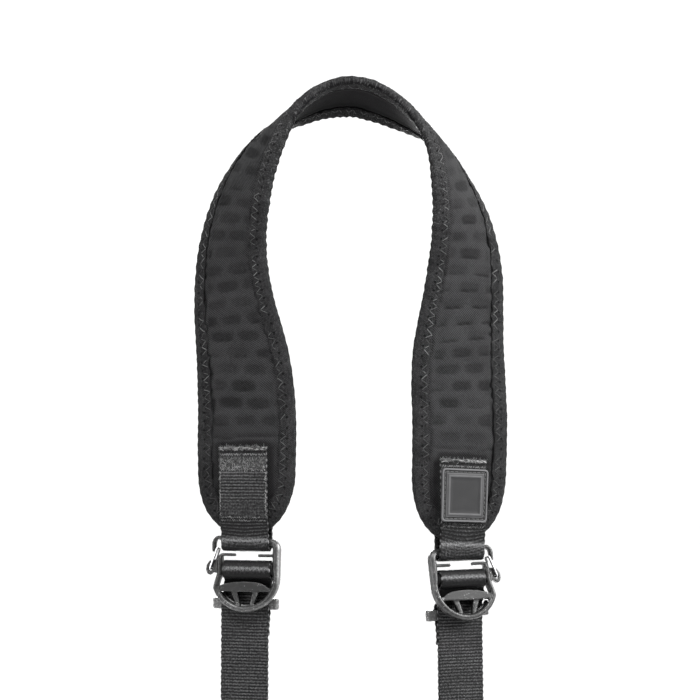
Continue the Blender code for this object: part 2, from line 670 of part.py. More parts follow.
def build_hook_frame(side, mat):
    """One casting: frame with nose and fingers, adjuster bar, lip bar on two ribs, ledge and lug."""
    half = FRAME_WIDTH / 2
    _, outer = throat_side()
    arc_up = half - FRAME_HEIGHT / 2
    body = cast_bar(side, "hook_frame_" + side.name, frame_stations(), mat)
    finger_up = FINGER_UP - 0.2 * FINGER_HEIGHT
    finger = [(x, finger_up, 90, FINGER_HEIGHT, FINGER_DEPTH)
              for x in (FINGER_SHIFT + FINGER_GAP / 2, half - 0.4 * SIDE_WALL)]
    parts = [cast_bar(side, "finger_part", finger, mat), build_adjuster(side, mat)]
    lip = [(x * half, -LIP_DOWN + z * LIP_HEIGHT) for x, z in LIP]
    face = FRAME_DEPTH / 2 - LIP_SET
    parts.append(plate(side, "lip_part", lip, face - LIP_DEPTH, face, mat))
    arc_inner = half - ARC_WALL
    rib_up = 0.2 * LIP_HEIGHT - LIP_DOWN
    rib_face = face - 0.2 * LIP_DEPTH
    for sign in (-1, 1):
        top = sign * RIB_SPREAD
        low = 0.55 * top
        low_half = 0.25 * RIB_WIDTH
        rib = [(top - RIB_WIDTH / 2, rib_up), (top + RIB_WIDTH / 2, rib_up),
               (low + low_half, arc_up - arc_inner), (low - low_half, arc_up - arc_inner)]
        parts.append(plate(side, "rib_part", rib, rib_face - RIB_DEPTH, rib_face, mat))
    ledge = bend_stations(0.0, arc_up, arc_inner - 0.2 * LEDGE_WALL, LEDGE_SPAN, 12,
                          (LEDGE_WALL, LEDGE_WALL), (LEDGE_DEPTH, LEDGE_DEPTH))
    parts.append(cast_bar(side, "ledge_part", ledge, mat, front=0.6 * LEDGE_DEPTH - FRAME_DEPTH / 2))
    lug = [(outer - x * LUG_SIZE, PIVOT_UP + z * LUG_SIZE) for x, z in LUG]
    parts.append(plate(side, "lug_part", lug, -LUG_DEPTH / 2, LUG_DEPTH / 2, mat))
    for other in parts:
        combine(body, other, "UNION")
    combine(body, pivot_cutter(side, mat), "DIFFERENCE")
    return body


def gate_path():
    """The wire's middle line: pin, leg up the front, across in the nose, leg down the rear, pin."""
    pin_x, pin_up = pivot()
    nose_x, nose_up = nose_bend()
    top_x = nose_x - HOOK_BEND + HOOK_WALL / 2 + 1.4 * GAP + WIRE / 2
    start = Vector((pin_x, pin_up, 0.0))
    top = Vector((top_x, nose_up - GATE_DROP * HOOK_REACH, 0.0))
    ahead = (top - start).normalized()
    leg = Vector((0.0, 0.0, LUG_DEPTH / 2 + GAP + WIRE / 2))
    forward = Vector((0.0, 0.0, 1.0))
    front = [start + forward * GAP]
    for middle, first, last in ((start + ahead * GATE_BEND + leg - forward * GATE_BEND, -ahead, forward),
                                (top - ahead * GATE_BEND + leg - forward * GATE_BEND, forward, ahead)):
        for k in range(4):
            angle = math.pi / 2 * k / 3
            front.append(middle + (first * math.cos(angle) + last * math.sin(angle)) * GATE_BEND)
    rear = [Vector((p.x, p.y, -p.z)) for p in reversed(front)]
    return front + rear


def build_gate(side, mat):
    """The sprung wire loop, with its origin on its pivot."""
    path = gate_path()
    pin = Vector((*pivot(), 0.0))
    count = len(path)
    rings = []
    along = Vector((pin.x, pin.y, 0.0)) - Vector((path[count // 2].x, path[count // 2].y, 0.0))
    square = along.cross(Vector((0.0, 0.0, 1.0))).normalized()
    for i, point in enumerate(path):
        ahead = (path[min(i + 1, count - 1)] - path[max(i - 1, 0)]).normalized()
        other = ahead.cross(square).normalized()
        ring = []
        for k in range(8):
            angle = 2 * math.pi * k / 8
            offset = (square * math.cos(angle) + other * math.sin(angle)) * WIRE / 2
            place = point + offset
            ring.append(side.leaning(place.x, place.y, place.z))
        rings.append(ring)
    points, faces = loft(rings)
    origin = side.leaning(pin.x, pin.y, 0.0)
    obj = add_solid("wire_gate_" + side.name, [p - origin for p in points], faces, mat)
    obj.location = origin
    return obj


def rounded_rectangle(width, height, corner, steps=4):
    """Points of a rectangle with round corners, counter-clockwise from its right side."""
    points = []
    for k in range(4):
        sx, sy = ((1, 1), (-1, 1), (-1, -1), (1, -1))[k]
        for j in range(steps + 1):
            angle = math.pi / 2 * (k + j / steps)
            x = sx * (width / 2 - corner) + corner * math.cos(angle)
            points.append((x, sy * (height / 2 - corner) + corner * math.sin(angle)))
    return points


def build_keeper(side, mat):
    """A flat loop that holds the tail's rear layer against the strap."""
    opening = WEBBING_WALL + 2 * GAP
    width = WEBBING_WIDTH + 3 * GAP + KEEPER_HEIGHT * math.sin(side.keeper_lean)
    depth = opening + 2 * KEEPER_WALL
    centre = behind_frame() - WEBBING_WALL / 2 - GAP - depth / 2
    outer = [(x + side.keeper_step, y) for x, y in rounded_rectangle(KEEPER_WIDTH, depth, KEEPER_CORNER)]
    inner = rounded_rectangle(width, opening, 0.25 * KEEPER_WALL)
    middle = side.upright(side.tail_inward(-KEEPER_DOWN), -KEEPER_DOWN, centre)
    lean_up = side.up * math.cos(side.keeper_lean) + side.inward * math.sin(side.keeper_lean)
    lean_in = side.inward * math.cos(side.keeper_lean) - side.up * math.sin(side.keeper_lean)
    rings = []
    for (xo, yo), (xi, yi) in zip(outer, inner):
        ring = []
        for x, y, up in ((xo, yo, 1), (xo, yo, -1), (xi, yi, -1), (xi, yi, 1)):
            ring.append(middle + lean_in * x + side.front * y + lean_up * (up * KEEPER_HEIGHT / 2))
        rings.append(ring)
    points, faces = loft(rings, closed=True)
    return add_solid("strap_keeper_" + side.name, points, faces, mat)


def build_patch(side, mat):
    """A moulded rubber patch: raised rim, sewn groove and a bare plate."""
    base = strand_height() + WEBBING_WALL / 2 + LOOSE
    middle = side.webbing_step(PATCH_UP)
    # Inset from the outline, then height above the back, from the back's edge in to the plate
    steps = (
        (0.0, 0.0),
        (0.0, 0.75 * PATCH_WALL),
        (0.3 * PATCH_RIM, PATCH_WALL),
        (PATCH_RIM, PATCH_WALL),
        (1.2 * PATCH_RIM, PATCH_WALL - PATCH_GROOVE),
        (1.8 * PATCH_RIM, PATCH_WALL - PATCH_GROOVE),
        (2.0 * PATCH_RIM, PATCH_WALL - 0.3 * PATCH_GROOVE),
    )
    rings = []
    for inset, height in steps:
        corner = max(PATCH_CORNER - inset, 0.3 * PATCH_RIM)
        outline = rounded_rectangle(PATCH_WIDTH - 2 * inset, PATCH_HEIGHT - 2 * inset, corner)
        rings.append([side.on_pad(PATCH_UP + y, middle + x, base + height) for x, y in outline])
    points, faces = loft(rings)
    return add_solid("label_patch", points, faces, mat)


def main():
    clear_scene()
    cloth = make_material("pad_cloth", (0.030, 0.030, 0.032), 0.85)
    tape = make_material("binding_tape", (0.018, 0.018, 0.020), 0.9)
    webbing = make_material("webbing", (0.028, 0.028, 0.030), 0.8)
    rubber = make_material("patch_rubber", (0.022, 0.022, 0.024), 0.6)
    casting = make_material("cast_metal", (0.11, 0.11, 0.115), 0.45, 0.8)
    steel = make_material("wire_steel", (0.75, 0.75, 0.76), 0.2, 1.0)
    ribbon = Ribbon()
    build_pad(ribbon, cloth)
    build_binding(ribbon, tape)
    for name in ("left", "right"):
        side = Side(ribbon, name)
        build_upper_webbing(side, webbing)
        build_hook_frame(side, casting)
        build_gate(side, steel)
        build_tail(side, webbing)
        build_keeper(side, casting)
        if name == "right":
            build_patch(side, rubber)


main()
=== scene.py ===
"""Looks of the padded binocular strap: cloths, tape, stitches, webbing, castings and wire."""
from collections import namedtuple
from math import cos, pi, radians, sin

import bmesh
import bpy
import numpy as np
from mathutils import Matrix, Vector


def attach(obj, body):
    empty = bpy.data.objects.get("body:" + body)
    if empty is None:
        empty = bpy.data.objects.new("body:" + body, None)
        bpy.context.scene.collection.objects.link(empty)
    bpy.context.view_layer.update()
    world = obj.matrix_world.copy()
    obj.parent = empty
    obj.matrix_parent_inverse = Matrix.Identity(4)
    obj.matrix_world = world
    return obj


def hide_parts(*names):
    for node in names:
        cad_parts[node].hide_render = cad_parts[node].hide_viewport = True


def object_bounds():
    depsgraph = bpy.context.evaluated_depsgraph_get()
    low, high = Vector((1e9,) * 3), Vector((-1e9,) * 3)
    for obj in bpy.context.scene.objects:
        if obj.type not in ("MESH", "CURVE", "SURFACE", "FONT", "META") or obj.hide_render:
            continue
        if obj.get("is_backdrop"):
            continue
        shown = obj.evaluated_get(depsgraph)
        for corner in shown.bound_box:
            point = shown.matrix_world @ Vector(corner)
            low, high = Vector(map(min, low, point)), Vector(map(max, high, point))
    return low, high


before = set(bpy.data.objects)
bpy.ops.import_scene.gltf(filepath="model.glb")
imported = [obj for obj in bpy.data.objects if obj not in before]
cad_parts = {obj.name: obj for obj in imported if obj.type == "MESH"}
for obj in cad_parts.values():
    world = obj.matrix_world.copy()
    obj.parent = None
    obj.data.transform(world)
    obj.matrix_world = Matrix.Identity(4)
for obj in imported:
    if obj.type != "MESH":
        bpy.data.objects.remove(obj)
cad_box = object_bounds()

MM = 0.001

# The pad and its table, as in the solids
HALF_SPAN = 60.0 * MM
DROP_LEFT = 222.5 * MM
DROP_RIGHT = 227.0 * MM
FORWARD = 23.0 * MM
PAD_WIDTH = 50.7 * MM
PAD_THICKNESS = 6.0 * MM
CORE_EDGE = 1.0 * MM
EDGE_RISE = 15.0 * MM
END_LENGTH = 35.0 * MM
END_ROUNDNESS = 2.4
BINDING_REACH = 8.3 * MM
BINDING_WALL = 1.0 * MM
BINDING_EDGE = 2.0 * MM
ARM = (
    # height, across left, across right, forward, turn left, turn right, width, curl
    (1.000, 0.895, 0.867, 1.00, 22, 17, 0.985, 3),
    (0.850, 0.893, 0.892, 0.96, 20, 14, 1.000, 3),
    (0.720, 0.890, 0.905, 0.83, 20, 12, 1.000, 4),
    (0.600, 0.928, 0.912, 0.57, 25, 11, 0.975, 6),
    (0.490, 0.993, 0.965, 0.30, 31, 14, 0.900, 10),
    (0.380, 1.013, 1.003, 0.13, 38, 21, 0.832, 14),
    (0.270, 0.960, 0.977, 0.04, 46, 39, 0.785, 18),
    (0.180, 0.850, 0.882, 0.00, 58, 58, 0.746, 22),
    (0.105, 0.688, 0.733, 0.00, 74, 78, 0.722, 24),
    (0.048, 0.473, 0.487, 0.00, 98, 101, 0.710, 26),
    (0.000, 0.000, 0.000, 0.00, 117, 117, 0.710, 26),
)

# Webbing, buckle and patch sizes, as in the solids
WEBBING_WIDTH = 24.8 * MM
WEBBING_WALL = 1.4 * MM
BACK_HEM = 30.0 * MM
TAIL_LENGTH = 67.0 * MM
FREE_END = 30.0 * MM
PATCH_WIDTH = 24.5 * MM
PATCH_HEIGHT = 26.3 * MM
PATCH_WALL = 1.7 * MM
PATCH_CORNER = 1.8 * MM
PATCH_UP = 23.3 * MM
PATCH_RIM = 1.0 * MM
PATCH_GROOVE = 0.7 * MM
FRAME_WIDTH = 35.2 * MM
FRAME_HEIGHT = 36.6 * MM
FRAME_DEPTH = 5.0 * MM
SIDE_WALL = 3.6 * MM
TOP_BAR_HEIGHT = 4.4 * MM
TOP_BAR_DEPTH = 3.8 * MM
HOOK_WALL = 2.1 * MM
HOOK_BEND = 3.25 * MM
HOOK_RISE = 1.4 * MM
HOOK_OUT = 0.35 * MM
HOOK_REACH = 4.0 * MM
THROAT_STEP = 2.95 * MM
THROAT_WALL = 2.5 * MM
ADJUSTER_HEIGHT = 5.5 * MM
ADJUSTER_DEPTH = 3.5 * MM
ADJUSTER_UP = 2.85 * MM
LIP_HEIGHT = 5.0 * MM
LIP_DOWN = 8.1 * MM
LUG_DEPTH = 2.6 * MM
WIRE = 1.2 * MM
GATE_BEND = 1.1 * MM
PIVOT_OUT = 3.6 * MM
GATE_DROP = 0.55
PIVOT_UP = 3.0 * MM
KEEPER_HEIGHT = 5.6 * MM
KEEPER_WALL = 1.2 * MM
KEEPER_DOWN = 14.5 * MM
GAP = 0.3 * MM
LOOSE = 0.6 * MM
TAPE_GAP = 1.8 * GAP
CORE_INSET = BINDING_WALL + TAPE_GAP
TOP_BAR_UP = FRAME_HEIGHT / 2 - TOP_BAR_HEIGHT / 2
STRAND_HEIGHT = PAD_THICKNESS / 2 + GAP + LOOSE + WEBBING_WALL / 2
BEHIND_FRAME = -(FRAME_DEPTH / 2 + GAP + WEBBING_WALL / 2)
# How the webbings leave the pad and pass the lip: up, in end lengths or lip heights, and share of
# the way to the bar's face or to the frame's rear
LEAVING = ((0.26, 0.00), (0.15, 0.45), (0.06, 0.80), (-0.03, 1.00))
TAIL_FRONT = (
    (0.55, -0.58), (0.39, -0.23), (0.32, 0.09), (0.12, 0.34), (-0.10, 0.54), (-0.355, 0.83),
    (-0.645, 1.00),
)
TAIL_REAR = (
    (0.66, 0.81), (0.32, 0.85), (0.12, 0.82), (-0.10, 1.03), (-0.355, 1.32), (-0.645, 1.49),
)
# Each side's own sizes, in millimetres and degrees
SideSizes = namedtuple(
    "SideSizes", "mirror hem hem_step step drop lean pitch keeper_lean tail_step tail_slant")
SIDES = {
    "left": SideSizes(1.0, 43.0, -0.8, 0.45, 20.3, -0.3, 6.0, 0.0, -1.2, 0.4),
    "right": SideSizes(-1.0, 41.0, 0.0, -1.65, 21.0, 0.5, 15.0, 4.0, 1.9, 1.0),
}

# What only the looks show
STITCH = 4.9 * MM              # one zigzag
ZIGZAG_IN = 7.7 * MM           # the zigzag's points from the outer edge
ZIGZAG_OUT = 4.6 * MM
THREAD = 0.17 * MM             # radius of the zigzag's thread
TACK = 0.58 * MM               # one thread of the tacking
TACK_THREAD = 0.20 * MM        # its radius
HIDDEN_TACKS = 0.2             # share of the tacking's threads that don't show
TACK_COLUMN = (12.5, 34.0)     # the tacking's columns begin and end here, from the webbing's hem
PATCH_STITCH = 2.3 * MM
HEM_YARNS = 190                # loose ends along an upper webbing's hem
HEM_FIBRES = 70
RIB = 1.57 * MM                # webbing's ribs
RIB_DEPTH = 0.28 * MM
HOLE_ROW = 8.65 * MM           # rows of holes in the foam
HOLE_COLUMN = 14.0 * MM
HOLE_LENGTH = 5.4 * MM         # half of a hole, across the pad
HOLE_WIDTH = 2.35 * MM         # half of a hole, along the pad
HOLE_ROUNDNESS = 3.4
# Flat places of hidden faces start this far on, so that their noise isn't the front's
REAR_FLAT = 80 * MM
INNER_FLAT = 60 * MM
WEBBING_FLAT = 30 * MM
NOISE_CELLS = (251, 61)
PAD_COLUMNS = 49
WEBBING_COLUMNS = 23
# Columns round the tape: shares of its reach and angles of its fold. Angles of a webbing's edge
TAPE_SHARES = np.array([1.0, 0.97, 0.92, 0.85, 0.77, 0.68, 0.6, 0.52, 0.44, 0.36, 0.30])
TAPE_FOLD = np.radians([22.0, 45.0, 67.0, 90.0])
SELVEDGE = np.radians([35.0, 90.0, 145.0])
# Rings of the patch from its back to its middle: inset in rims, height in walls and in grooves,
# paleness
PATCH_RINGS = (
    (0.05, 0, 0, 0.0), (0, 0.12, 0, 0.1), (0, 0.62, 0, 0.4), (0.06, 0.82, 0, 0.8),
    (0.22, 0.96, 0, 1.0), (0.5, 1, 0, 1.0), (0.8, 0.96, 0, 0.8), (0.96, 0.84, 0, 0.4),
    (1.08, 1, -0.9, 0.0), (1.2, 1, -1, 0.0), (2, 1, -1, 0.0), (2.12, 1, -0.85, 0.1),
    (2.3, 1, -0.3, 0.6), (2.45, 1, -0.22, 0.5), (3.1, 1, -0.22, 0.15), (3.25, 1, -0.16, 0.3),
    (3.45, 1, -0.02, 0.6), (3.75, 1, 0.02, 0.6), (4.05, 1, -0.02, 0.6), (4.25, 1, -0.2, 0.2),
    (4.45, 1, -0.3, -0.1), (6, 1, -0.3, -0.1), (8, 1, -0.29, -0.1), (10, 1, -0.28, -0.1),
    (11.6, 1, -0.28, -0.1),
)
# Each side's wear and painted light, in millimetres: levels of the webbing's rolls over the top bar
# and the adjuster bar, where their painted highlights and shade sit, depth and place of its ribs'
# bow; how dull its tail is, how pale the painted highlight on its wire, and the seeds of its upper
# webbing, frayed hem and tail
WearAndLight = namedtuple("WearAndLight", "roll tail_roll bow bow_at tail_dull wire upper_seed hem_seed tail_seed")
WEAR_AND_LIGHT = {
    "left": WearAndLight(-222.6, -236.6, -1.3, 48.0, 0.0, 0.54, 101, 151, 171),
    "right": WearAndLight(-225.6, -241.6, -2.6, 44.0, 0.12, 0.27, 121, 161, 181),
}
# Tacking across the webbing, at millimetres from its hem, or along it when turned, at millimetres
# from its middle
Tacking = namedtuple("Tacking", "seed rows swing paleness turned", defaults=(False,))
TACKING = {
    "left": (
        Tacking(131, (3.7,), 0.42, (0.4, 0.9)),
        Tacking(132, (5.6, 6.6, 7.6), 0.5, (-0.1, 0.8)),
        Tacking(135, np.arange(8.7, 12.2, 0.88), 0.5, (0.0, 1.0)),
        Tacking(133, (-11.7,), 0.35, (0.1, 1.0), True),
        Tacking(133, (11.7,), 0.35, (0.1, 1.0), True),
        Tacking(134, (34.7, 36.2), 0.34, (-0.1, 0.7)),
    ),
    "right": (
        Tacking(141, (3.7,), 0.42, (0.4, 0.9)),
        Tacking(144, (32.3, 33.7), 0.34, (-0.3, 0.5)),
    ),
}
# Name, place, size and watts of each light
LIGHTS = (
    ("key", (-0.25, -1.15, 1.55), 0.9, 140.0),
    ("right", (1.35, -0.45, 0.55), 0.6, 112.0),
    ("left", (-1.5, -0.7, 0.1), 0.6, 24.0),
    ("back", (0.0, 1.7, -0.25), 1.0, 85.0),
)
LIT_PLACE = Vector((0.0, -0.02, -0.16))
FLOOR_REACH = 14.0
FLOOR_LEVEL = -1.10
CAMERA_PLACE = (-0.14783, -1.41081, -0.12833)
CAMERA_TURN = -6.0
BLACK = (0.0010, 0.0010, 0.0011)


def unit(rows):
    return rows / np.linalg.norm(rows, axis=-1, keepdims=True)


def ease(share):
    return share * share * (3 - 2 * share)


def smooth(low, high, value):
    return ease(np.clip((value - low) / (high - low), 0.0, 1.0))


def bell(value, middle, width):
    return np.exp(-(((value - middle) / width) ** 2))


def arc(angle, steps=8):
    return [angle * k / steps for k in range(steps + 1)]


def walked(points):
    """How far along a line each of its points is."""
    return np.concatenate([[0.0], np.cumsum(np.linalg.norm(np.diff(points, axis=0), axis=1))])


def between(at, knots, table):
    """A table's rows, or a list's values, read between its knots."""
    if table.ndim == 1:
        return np.interp(at, knots, table)
    return np.stack([np.interp(at, knots, column) for column in table.T], axis=-1)


def flat_places(along, across):
    """Flat places in millimetres, for arrays that broadcast together."""
    return np.stack(np.broadcast_arrays(along, across), axis=-1) / MM


def noise(x, y, cell, seed):
    """Smooth noise from -1 to 1 over a plane, the same in every run."""
    table = np.random.default_rng(seed).uniform(-1.0, 1.0, NOISE_CELLS)
    x, y = np.broadcast_arrays(x / cell, y / cell)
    i = np.floor(x).astype(int)
    j = np.floor(y).astype(int)
    a = ease(x - i)
    b = ease(y - j)

    def corner(p, q):
        return table[p % NOISE_CELLS[0], q % NOISE_CELLS[1]]

    low = corner(i, j) * (1 - a) + corner(i + 1, j) * a
    high = corner(i, j + 1) * (1 - a) + corner(i + 1, j + 1) * a
    return low * (1 - b) + high * b


def cubic(knots, values, at):
    """Natural cubic curve through a table's rows, read at the given places."""
    n = len(knots)
    step = np.diff(knots)
    matrix = np.eye(n)
    right = np.zeros_like(values)
    for i in range(1, n - 1):
        matrix[i, i - 1] = step[i - 1]
        matrix[i, i] = 2 * (step[i - 1] + step[i])
        matrix[i, i + 1] = step[i]
        rise = (values[i + 1] - values[i]) / step[i] - (values[i] - values[i - 1]) / step[i - 1]
        right[i] = 6 * rise
    bend = np.linalg.solve(matrix, right)
    i = np.clip(np.searchsorted(knots, at) - 1, 0, n - 2)
    d = (at - knots[i])[:, None]
    h = step[i][:, None]
    slope = (values[i + 1] - values[i]) / h - h * (2 * bend[i] + bend[i + 1]) / 6
    return (bend[i + 1] - bend[i]) / (6 * h) * d**3 + bend[i] / 2 * d**2 + slope * d + values[i]


class Ribbon:
    """The pad's middle surface, as in the solids."""

    SAMPLES = 600

    def __init__(self):
        left = []
        right = []
        for up, left_out, right_out, forward, left_turn, right_turn, width, curl in ARM:
            forward = -forward * FORWARD
            left.append((-left_out * HALF_SPAN, forward, -up * DROP_LEFT, left_turn, width, curl))
            right.append(
                (right_out * HALF_SPAN, forward, -up * DROP_RIGHT, right_turn, width, curl))
        table = np.array(left + right[-2::-1], float)
        knots = walked(table[:, :3])
        rows = cubic(knots, table, np.linspace(0.0, knots[-1], self.SAMPLES))
        self.centre = rows[:, :3]
        self.along = walked(self.centre)
        self.length = float(self.along[-1])
        self.tangent = unit(np.gradient(self.centre, self.along, axis=0))
        front = np.array([0.0, -1.0, 0.0])
        front = unit(front - self.tangent * (self.tangent @ front)[:, None])
        turn = np.radians(rows[:, 3])[:, None]
        self.normal = np.cos(turn) * front + np.sin(turn) * np.cross(front, self.tangent)
        apex = int(np.argmax(self.centre[:, 2]))
        self.centre = self.centre + self.normal[apex] * PAD_THICKNESS / 2
        self.half = rows[:, 4] * PAD_WIDTH / 2
        self.curl = np.radians(rows[:, 5])

    def read(self, table, along):
        return between(along, self.along, table)

    def place(self, along, across, height):
        """World points of places on the pad, for arrays of any shape."""
        along, across, height = np.broadcast_arrays(along, across, height)
        tangent = unit(self.read(self.tangent, along))
        normal = unit(self.read(self.normal, along))
        past = along - np.clip(along, 0.0, self.length)
        centre = self.read(self.centre, along) + tangent * past[..., None]
        inward = np.cross(tangent, normal)
        bend = self.read(self.curl, along) / self.read(self.half, along)
        radius = 1.0 / bend
        side = (radius + height) * np.sin(bend * across)
        rise = (radius + height) * np.cos(bend * across) - radius
        return centre + inward * side[..., None] + normal * rise[..., None]

    def outline(self, along, inset=0.0):
        half = self.read(self.half, along) - inset
        from_end = np.minimum(along, self.length - along)
        share = np.clip((END_LENGTH - from_end) / (END_LENGTH - inset), 0.0, 1.0)
        return half * (1.0 - share**END_ROUNDNESS) ** (1.0 / END_ROUNDNESS)

    def inset(self, along, across):
        """How far a place lies in from the pad's outline."""
        half = self.read(self.half, along)
        from_end = np.minimum(along, self.length - along)
        share = np.clip((END_LENGTH - from_end) / END_LENGTH, 0.0, None)
        straight = np.abs(across) / half
        reach = (share**END_ROUNDNESS + straight**END_ROUNDNESS) ** (1.0 / END_ROUNDNESS)
        reach = np.where(share > 0.0, np.minimum(reach, 1.0), straight)
        return (1.0 - reach) * half

    def core_height(self, along, across):
        distance = self.inset(along, across) - CORE_INSET
        rise = np.sin(pi / 2 * np.clip(distance / EDGE_RISE, 0.0, 1.0))
        return CORE_EDGE / 2 + (PAD_THICKNESS - CORE_EDGE) / 2 * rise

    def rows(self, first, round_rows, straight_rows, inset=0.0):
        """Distances along the pad, closer over its round ends, which start from the first angle."""
        angle = np.linspace(first, 0.5 * pi, round_rows)
        near = END_LENGTH - (END_LENGTH - inset) * np.cos(angle) ** (2 / END_ROUNDNESS)
        near = near[near > 0.02 * MM]
        middle = np.linspace(END_LENGTH, self.length - END_LENGTH, straight_rows)[1:-1]
        return np.concatenate([near, middle, self.length - near[::-1]])


class Side:
    """One end of the strap, as in the solids."""

    def __init__(self, ribbon, name):
        size = SIDES[name]
        self.ribbon = ribbon
        self.name = name
        self.wear_and_light = WEAR_AND_LIGHT[name]
        self.hem = size.hem * MM
        self.hem_step = size.hem_step * MM
        self.tail_step = size.tail_step * MM
        self.tail_slant = size.tail_slant * MM
        turn = radians(ARM[0][4] if name == "left" else ARM[0][5])
        lean = radians(size.lean)
        pitch = radians(size.pitch)
        self.front = Vector((-size.mirror * sin(turn), -cos(turn), 0.0))
        self.inward = Vector((size.mirror * cos(turn), -sin(turn), 0.0))
        self.up = Vector((0.0, 0.0, 1.0))
        level_up = self.up * cos(lean) + self.inward * sin(lean)
        self.lean_in = self.inward * cos(lean) - self.up * sin(lean)
        self.lean_up = level_up * cos(pitch) - self.front * sin(pitch)
        self.lean_front = self.front * cos(pitch) + level_up * sin(pitch)
        end = self.on_pad(0.0, 0.0, 0.0)
        self.middle = (end + self.inward * (size.step * MM) - self.up * (size.drop * MM)
                       + self.front * (TOP_BAR_UP * sin(pitch)))
        self.top_bar = self.leaning(0.0, TOP_BAR_UP, 0.0)
        self.bar_step = (self.top_bar - end).dot(self.inward)
        keeper_lean = radians(size.keeper_lean)
        self.keeper_edge = KEEPER_HEIGHT / 2 + WEBBING_WIDTH / 2 * sin(keeper_lean) + GAP
        self.hang = (KEEPER_DOWN - self.keeper_edge) * sin(pitch)

    def along(self, up):
        """Distance along the pad from one up from this end, or the other way round."""
        return up if self.name == "left" else self.ribbon.length - up

    def on_pad(self, up, inward, height):
        return Vector(self.ribbon.place(self.along(up), inward, height))

    def webbing_step(self, up):
        return self.hem_step + (self.bar_step - self.hem_step) * (1 - up / self.hem)

    def tail_inward(self, up):
        return self.tail_step + self.tail_slant * up / TAIL_LENGTH

    def upright(self, inward, up, front):
        return self.middle + self.inward * inward + self.up * up + self.front * (front + self.hang)

    def leaning(self, inward, up, front):
        return self.middle + self.lean_in * inward + self.lean_up * up + self.lean_front * front


def upper_stations(side):
    """Middle points and directions across of the upper webbing, pressed in where it is sewn."""
    around = TOP_BAR_DEPTH / 2 + LOOSE + WEBBING_WALL / 2
    below = TOP_BAR_HEIGHT / 2 + LOOSE + WEBBING_WALL / 2 + 0.4 * GAP

    def on_pad(up, done, face):
        inward = side.webbing_step(up)
        sink = 0.6 * MM * smooth(0.38, 0.62, up / side.hem) if face > 0 else 0.0
        height = face * (STRAND_HEIGHT + (around - STRAND_HEIGHT) * done) - sink
        middle = side.on_pad(up, inward, height)
        return middle, side.on_pad(up, inward + MM, height) - side.on_pad(up, inward - MM, height)

    front = [on_pad(side.hem * s, 0.0, 1) for s in (1.0, 0.9, 0.8, 0.7, 0.6, 0.5, 0.4, 0.3)]
    front += [on_pad(END_LENGTH * s, done, 1) for s, done in LEAVING]
    bend = []
    for angle in arc(pi):
        offset = side.front * (around * cos(angle)) - side.up * (below * sin(angle))
        bend.append((side.top_bar + offset, side.lean_in))
    back = [on_pad(END_LENGTH * s, done, -1) for s, done in reversed(LEAVING)]
    back += [on_pad(BACK_HEM * s, 0.0, -1) for s in (0.5, 0.75, 1.0)]
    return front + bend + back


def tail_stations(side):
    """Middle points and directions across of the tail webbing, from its cut end to its free end."""
    layer = WEBBING_WALL + GAP
    around = ADJUSTER_DEPTH / 2 + LOOSE + WEBBING_WALL / 2
    over = ADJUSTER_HEIGHT / 2 + LOOSE + WEBBING_WALL / 2
    rear = BEHIND_FRAME
    keeper_rear = rear - layer - KEEPER_WALL - GAP
    keeper_top = -KEEPER_DOWN + side.keeper_edge
    keeper_low = -KEEPER_DOWN - side.keeper_edge
    lip_top = LIP_HEIGHT - LIP_DOWN
    window = (THROAT_STEP + THROAT_WALL - SIDE_WALL) / 2

    def hanging(up, front):
        return side.upright(side.tail_inward(up), up, front), side.inward

    def through(up, back):
        inward = window * (0.35 if up < 0 else 1.0)
        return side.leaning(inward, lip_top + up * LIP_HEIGHT, back * rear), side.lean_in

    stations = [hanging(-s * TAIL_LENGTH, rear) for s in (1.0, 0.8, 0.6, 0.4)]
    stations += [hanging(-KEEPER_DOWN, rear), hanging(keeper_top, rear)]
    stations += [through(up, back) for up, back in reversed(TAIL_FRONT)]
    for angle in arc(pi):
        up = ADJUSTER_UP + over * sin(angle)
        stations.append((side.leaning(window, up, around * cos(angle)), side.lean_in))
    stations += [through(up, back) for up, back in TAIL_REAR]
    stations += [hanging(keeper_top, keeper_rear), hanging(keeper_low, keeper_rear)]
    stations.append(hanging(-0.68 * FREE_END, keeper_rear + 0.5 * layer))
    stations += [hanging(-s * FREE_END, rear - layer) for s in (0.84, 1.0)]
    return stations


# Meshes


def add_object(name, data):
    obj = bpy.data.objects.new(name, data)
    bpy.context.scene.collection.objects.link(obj)
    return obj


def add_field(mesh, name, values):
    field = mesh.attributes.new(name, "FLOAT", "POINT")
    field.data.foreach_set("value", values.astype(np.float32))


def reworked(mesh, step):
    """Runs one step of bmesh over a mesh."""
    bm = bmesh.new()
    bm.from_mesh(mesh)
    step(bm)
    bm.to_mesh(mesh)
    bm.free()


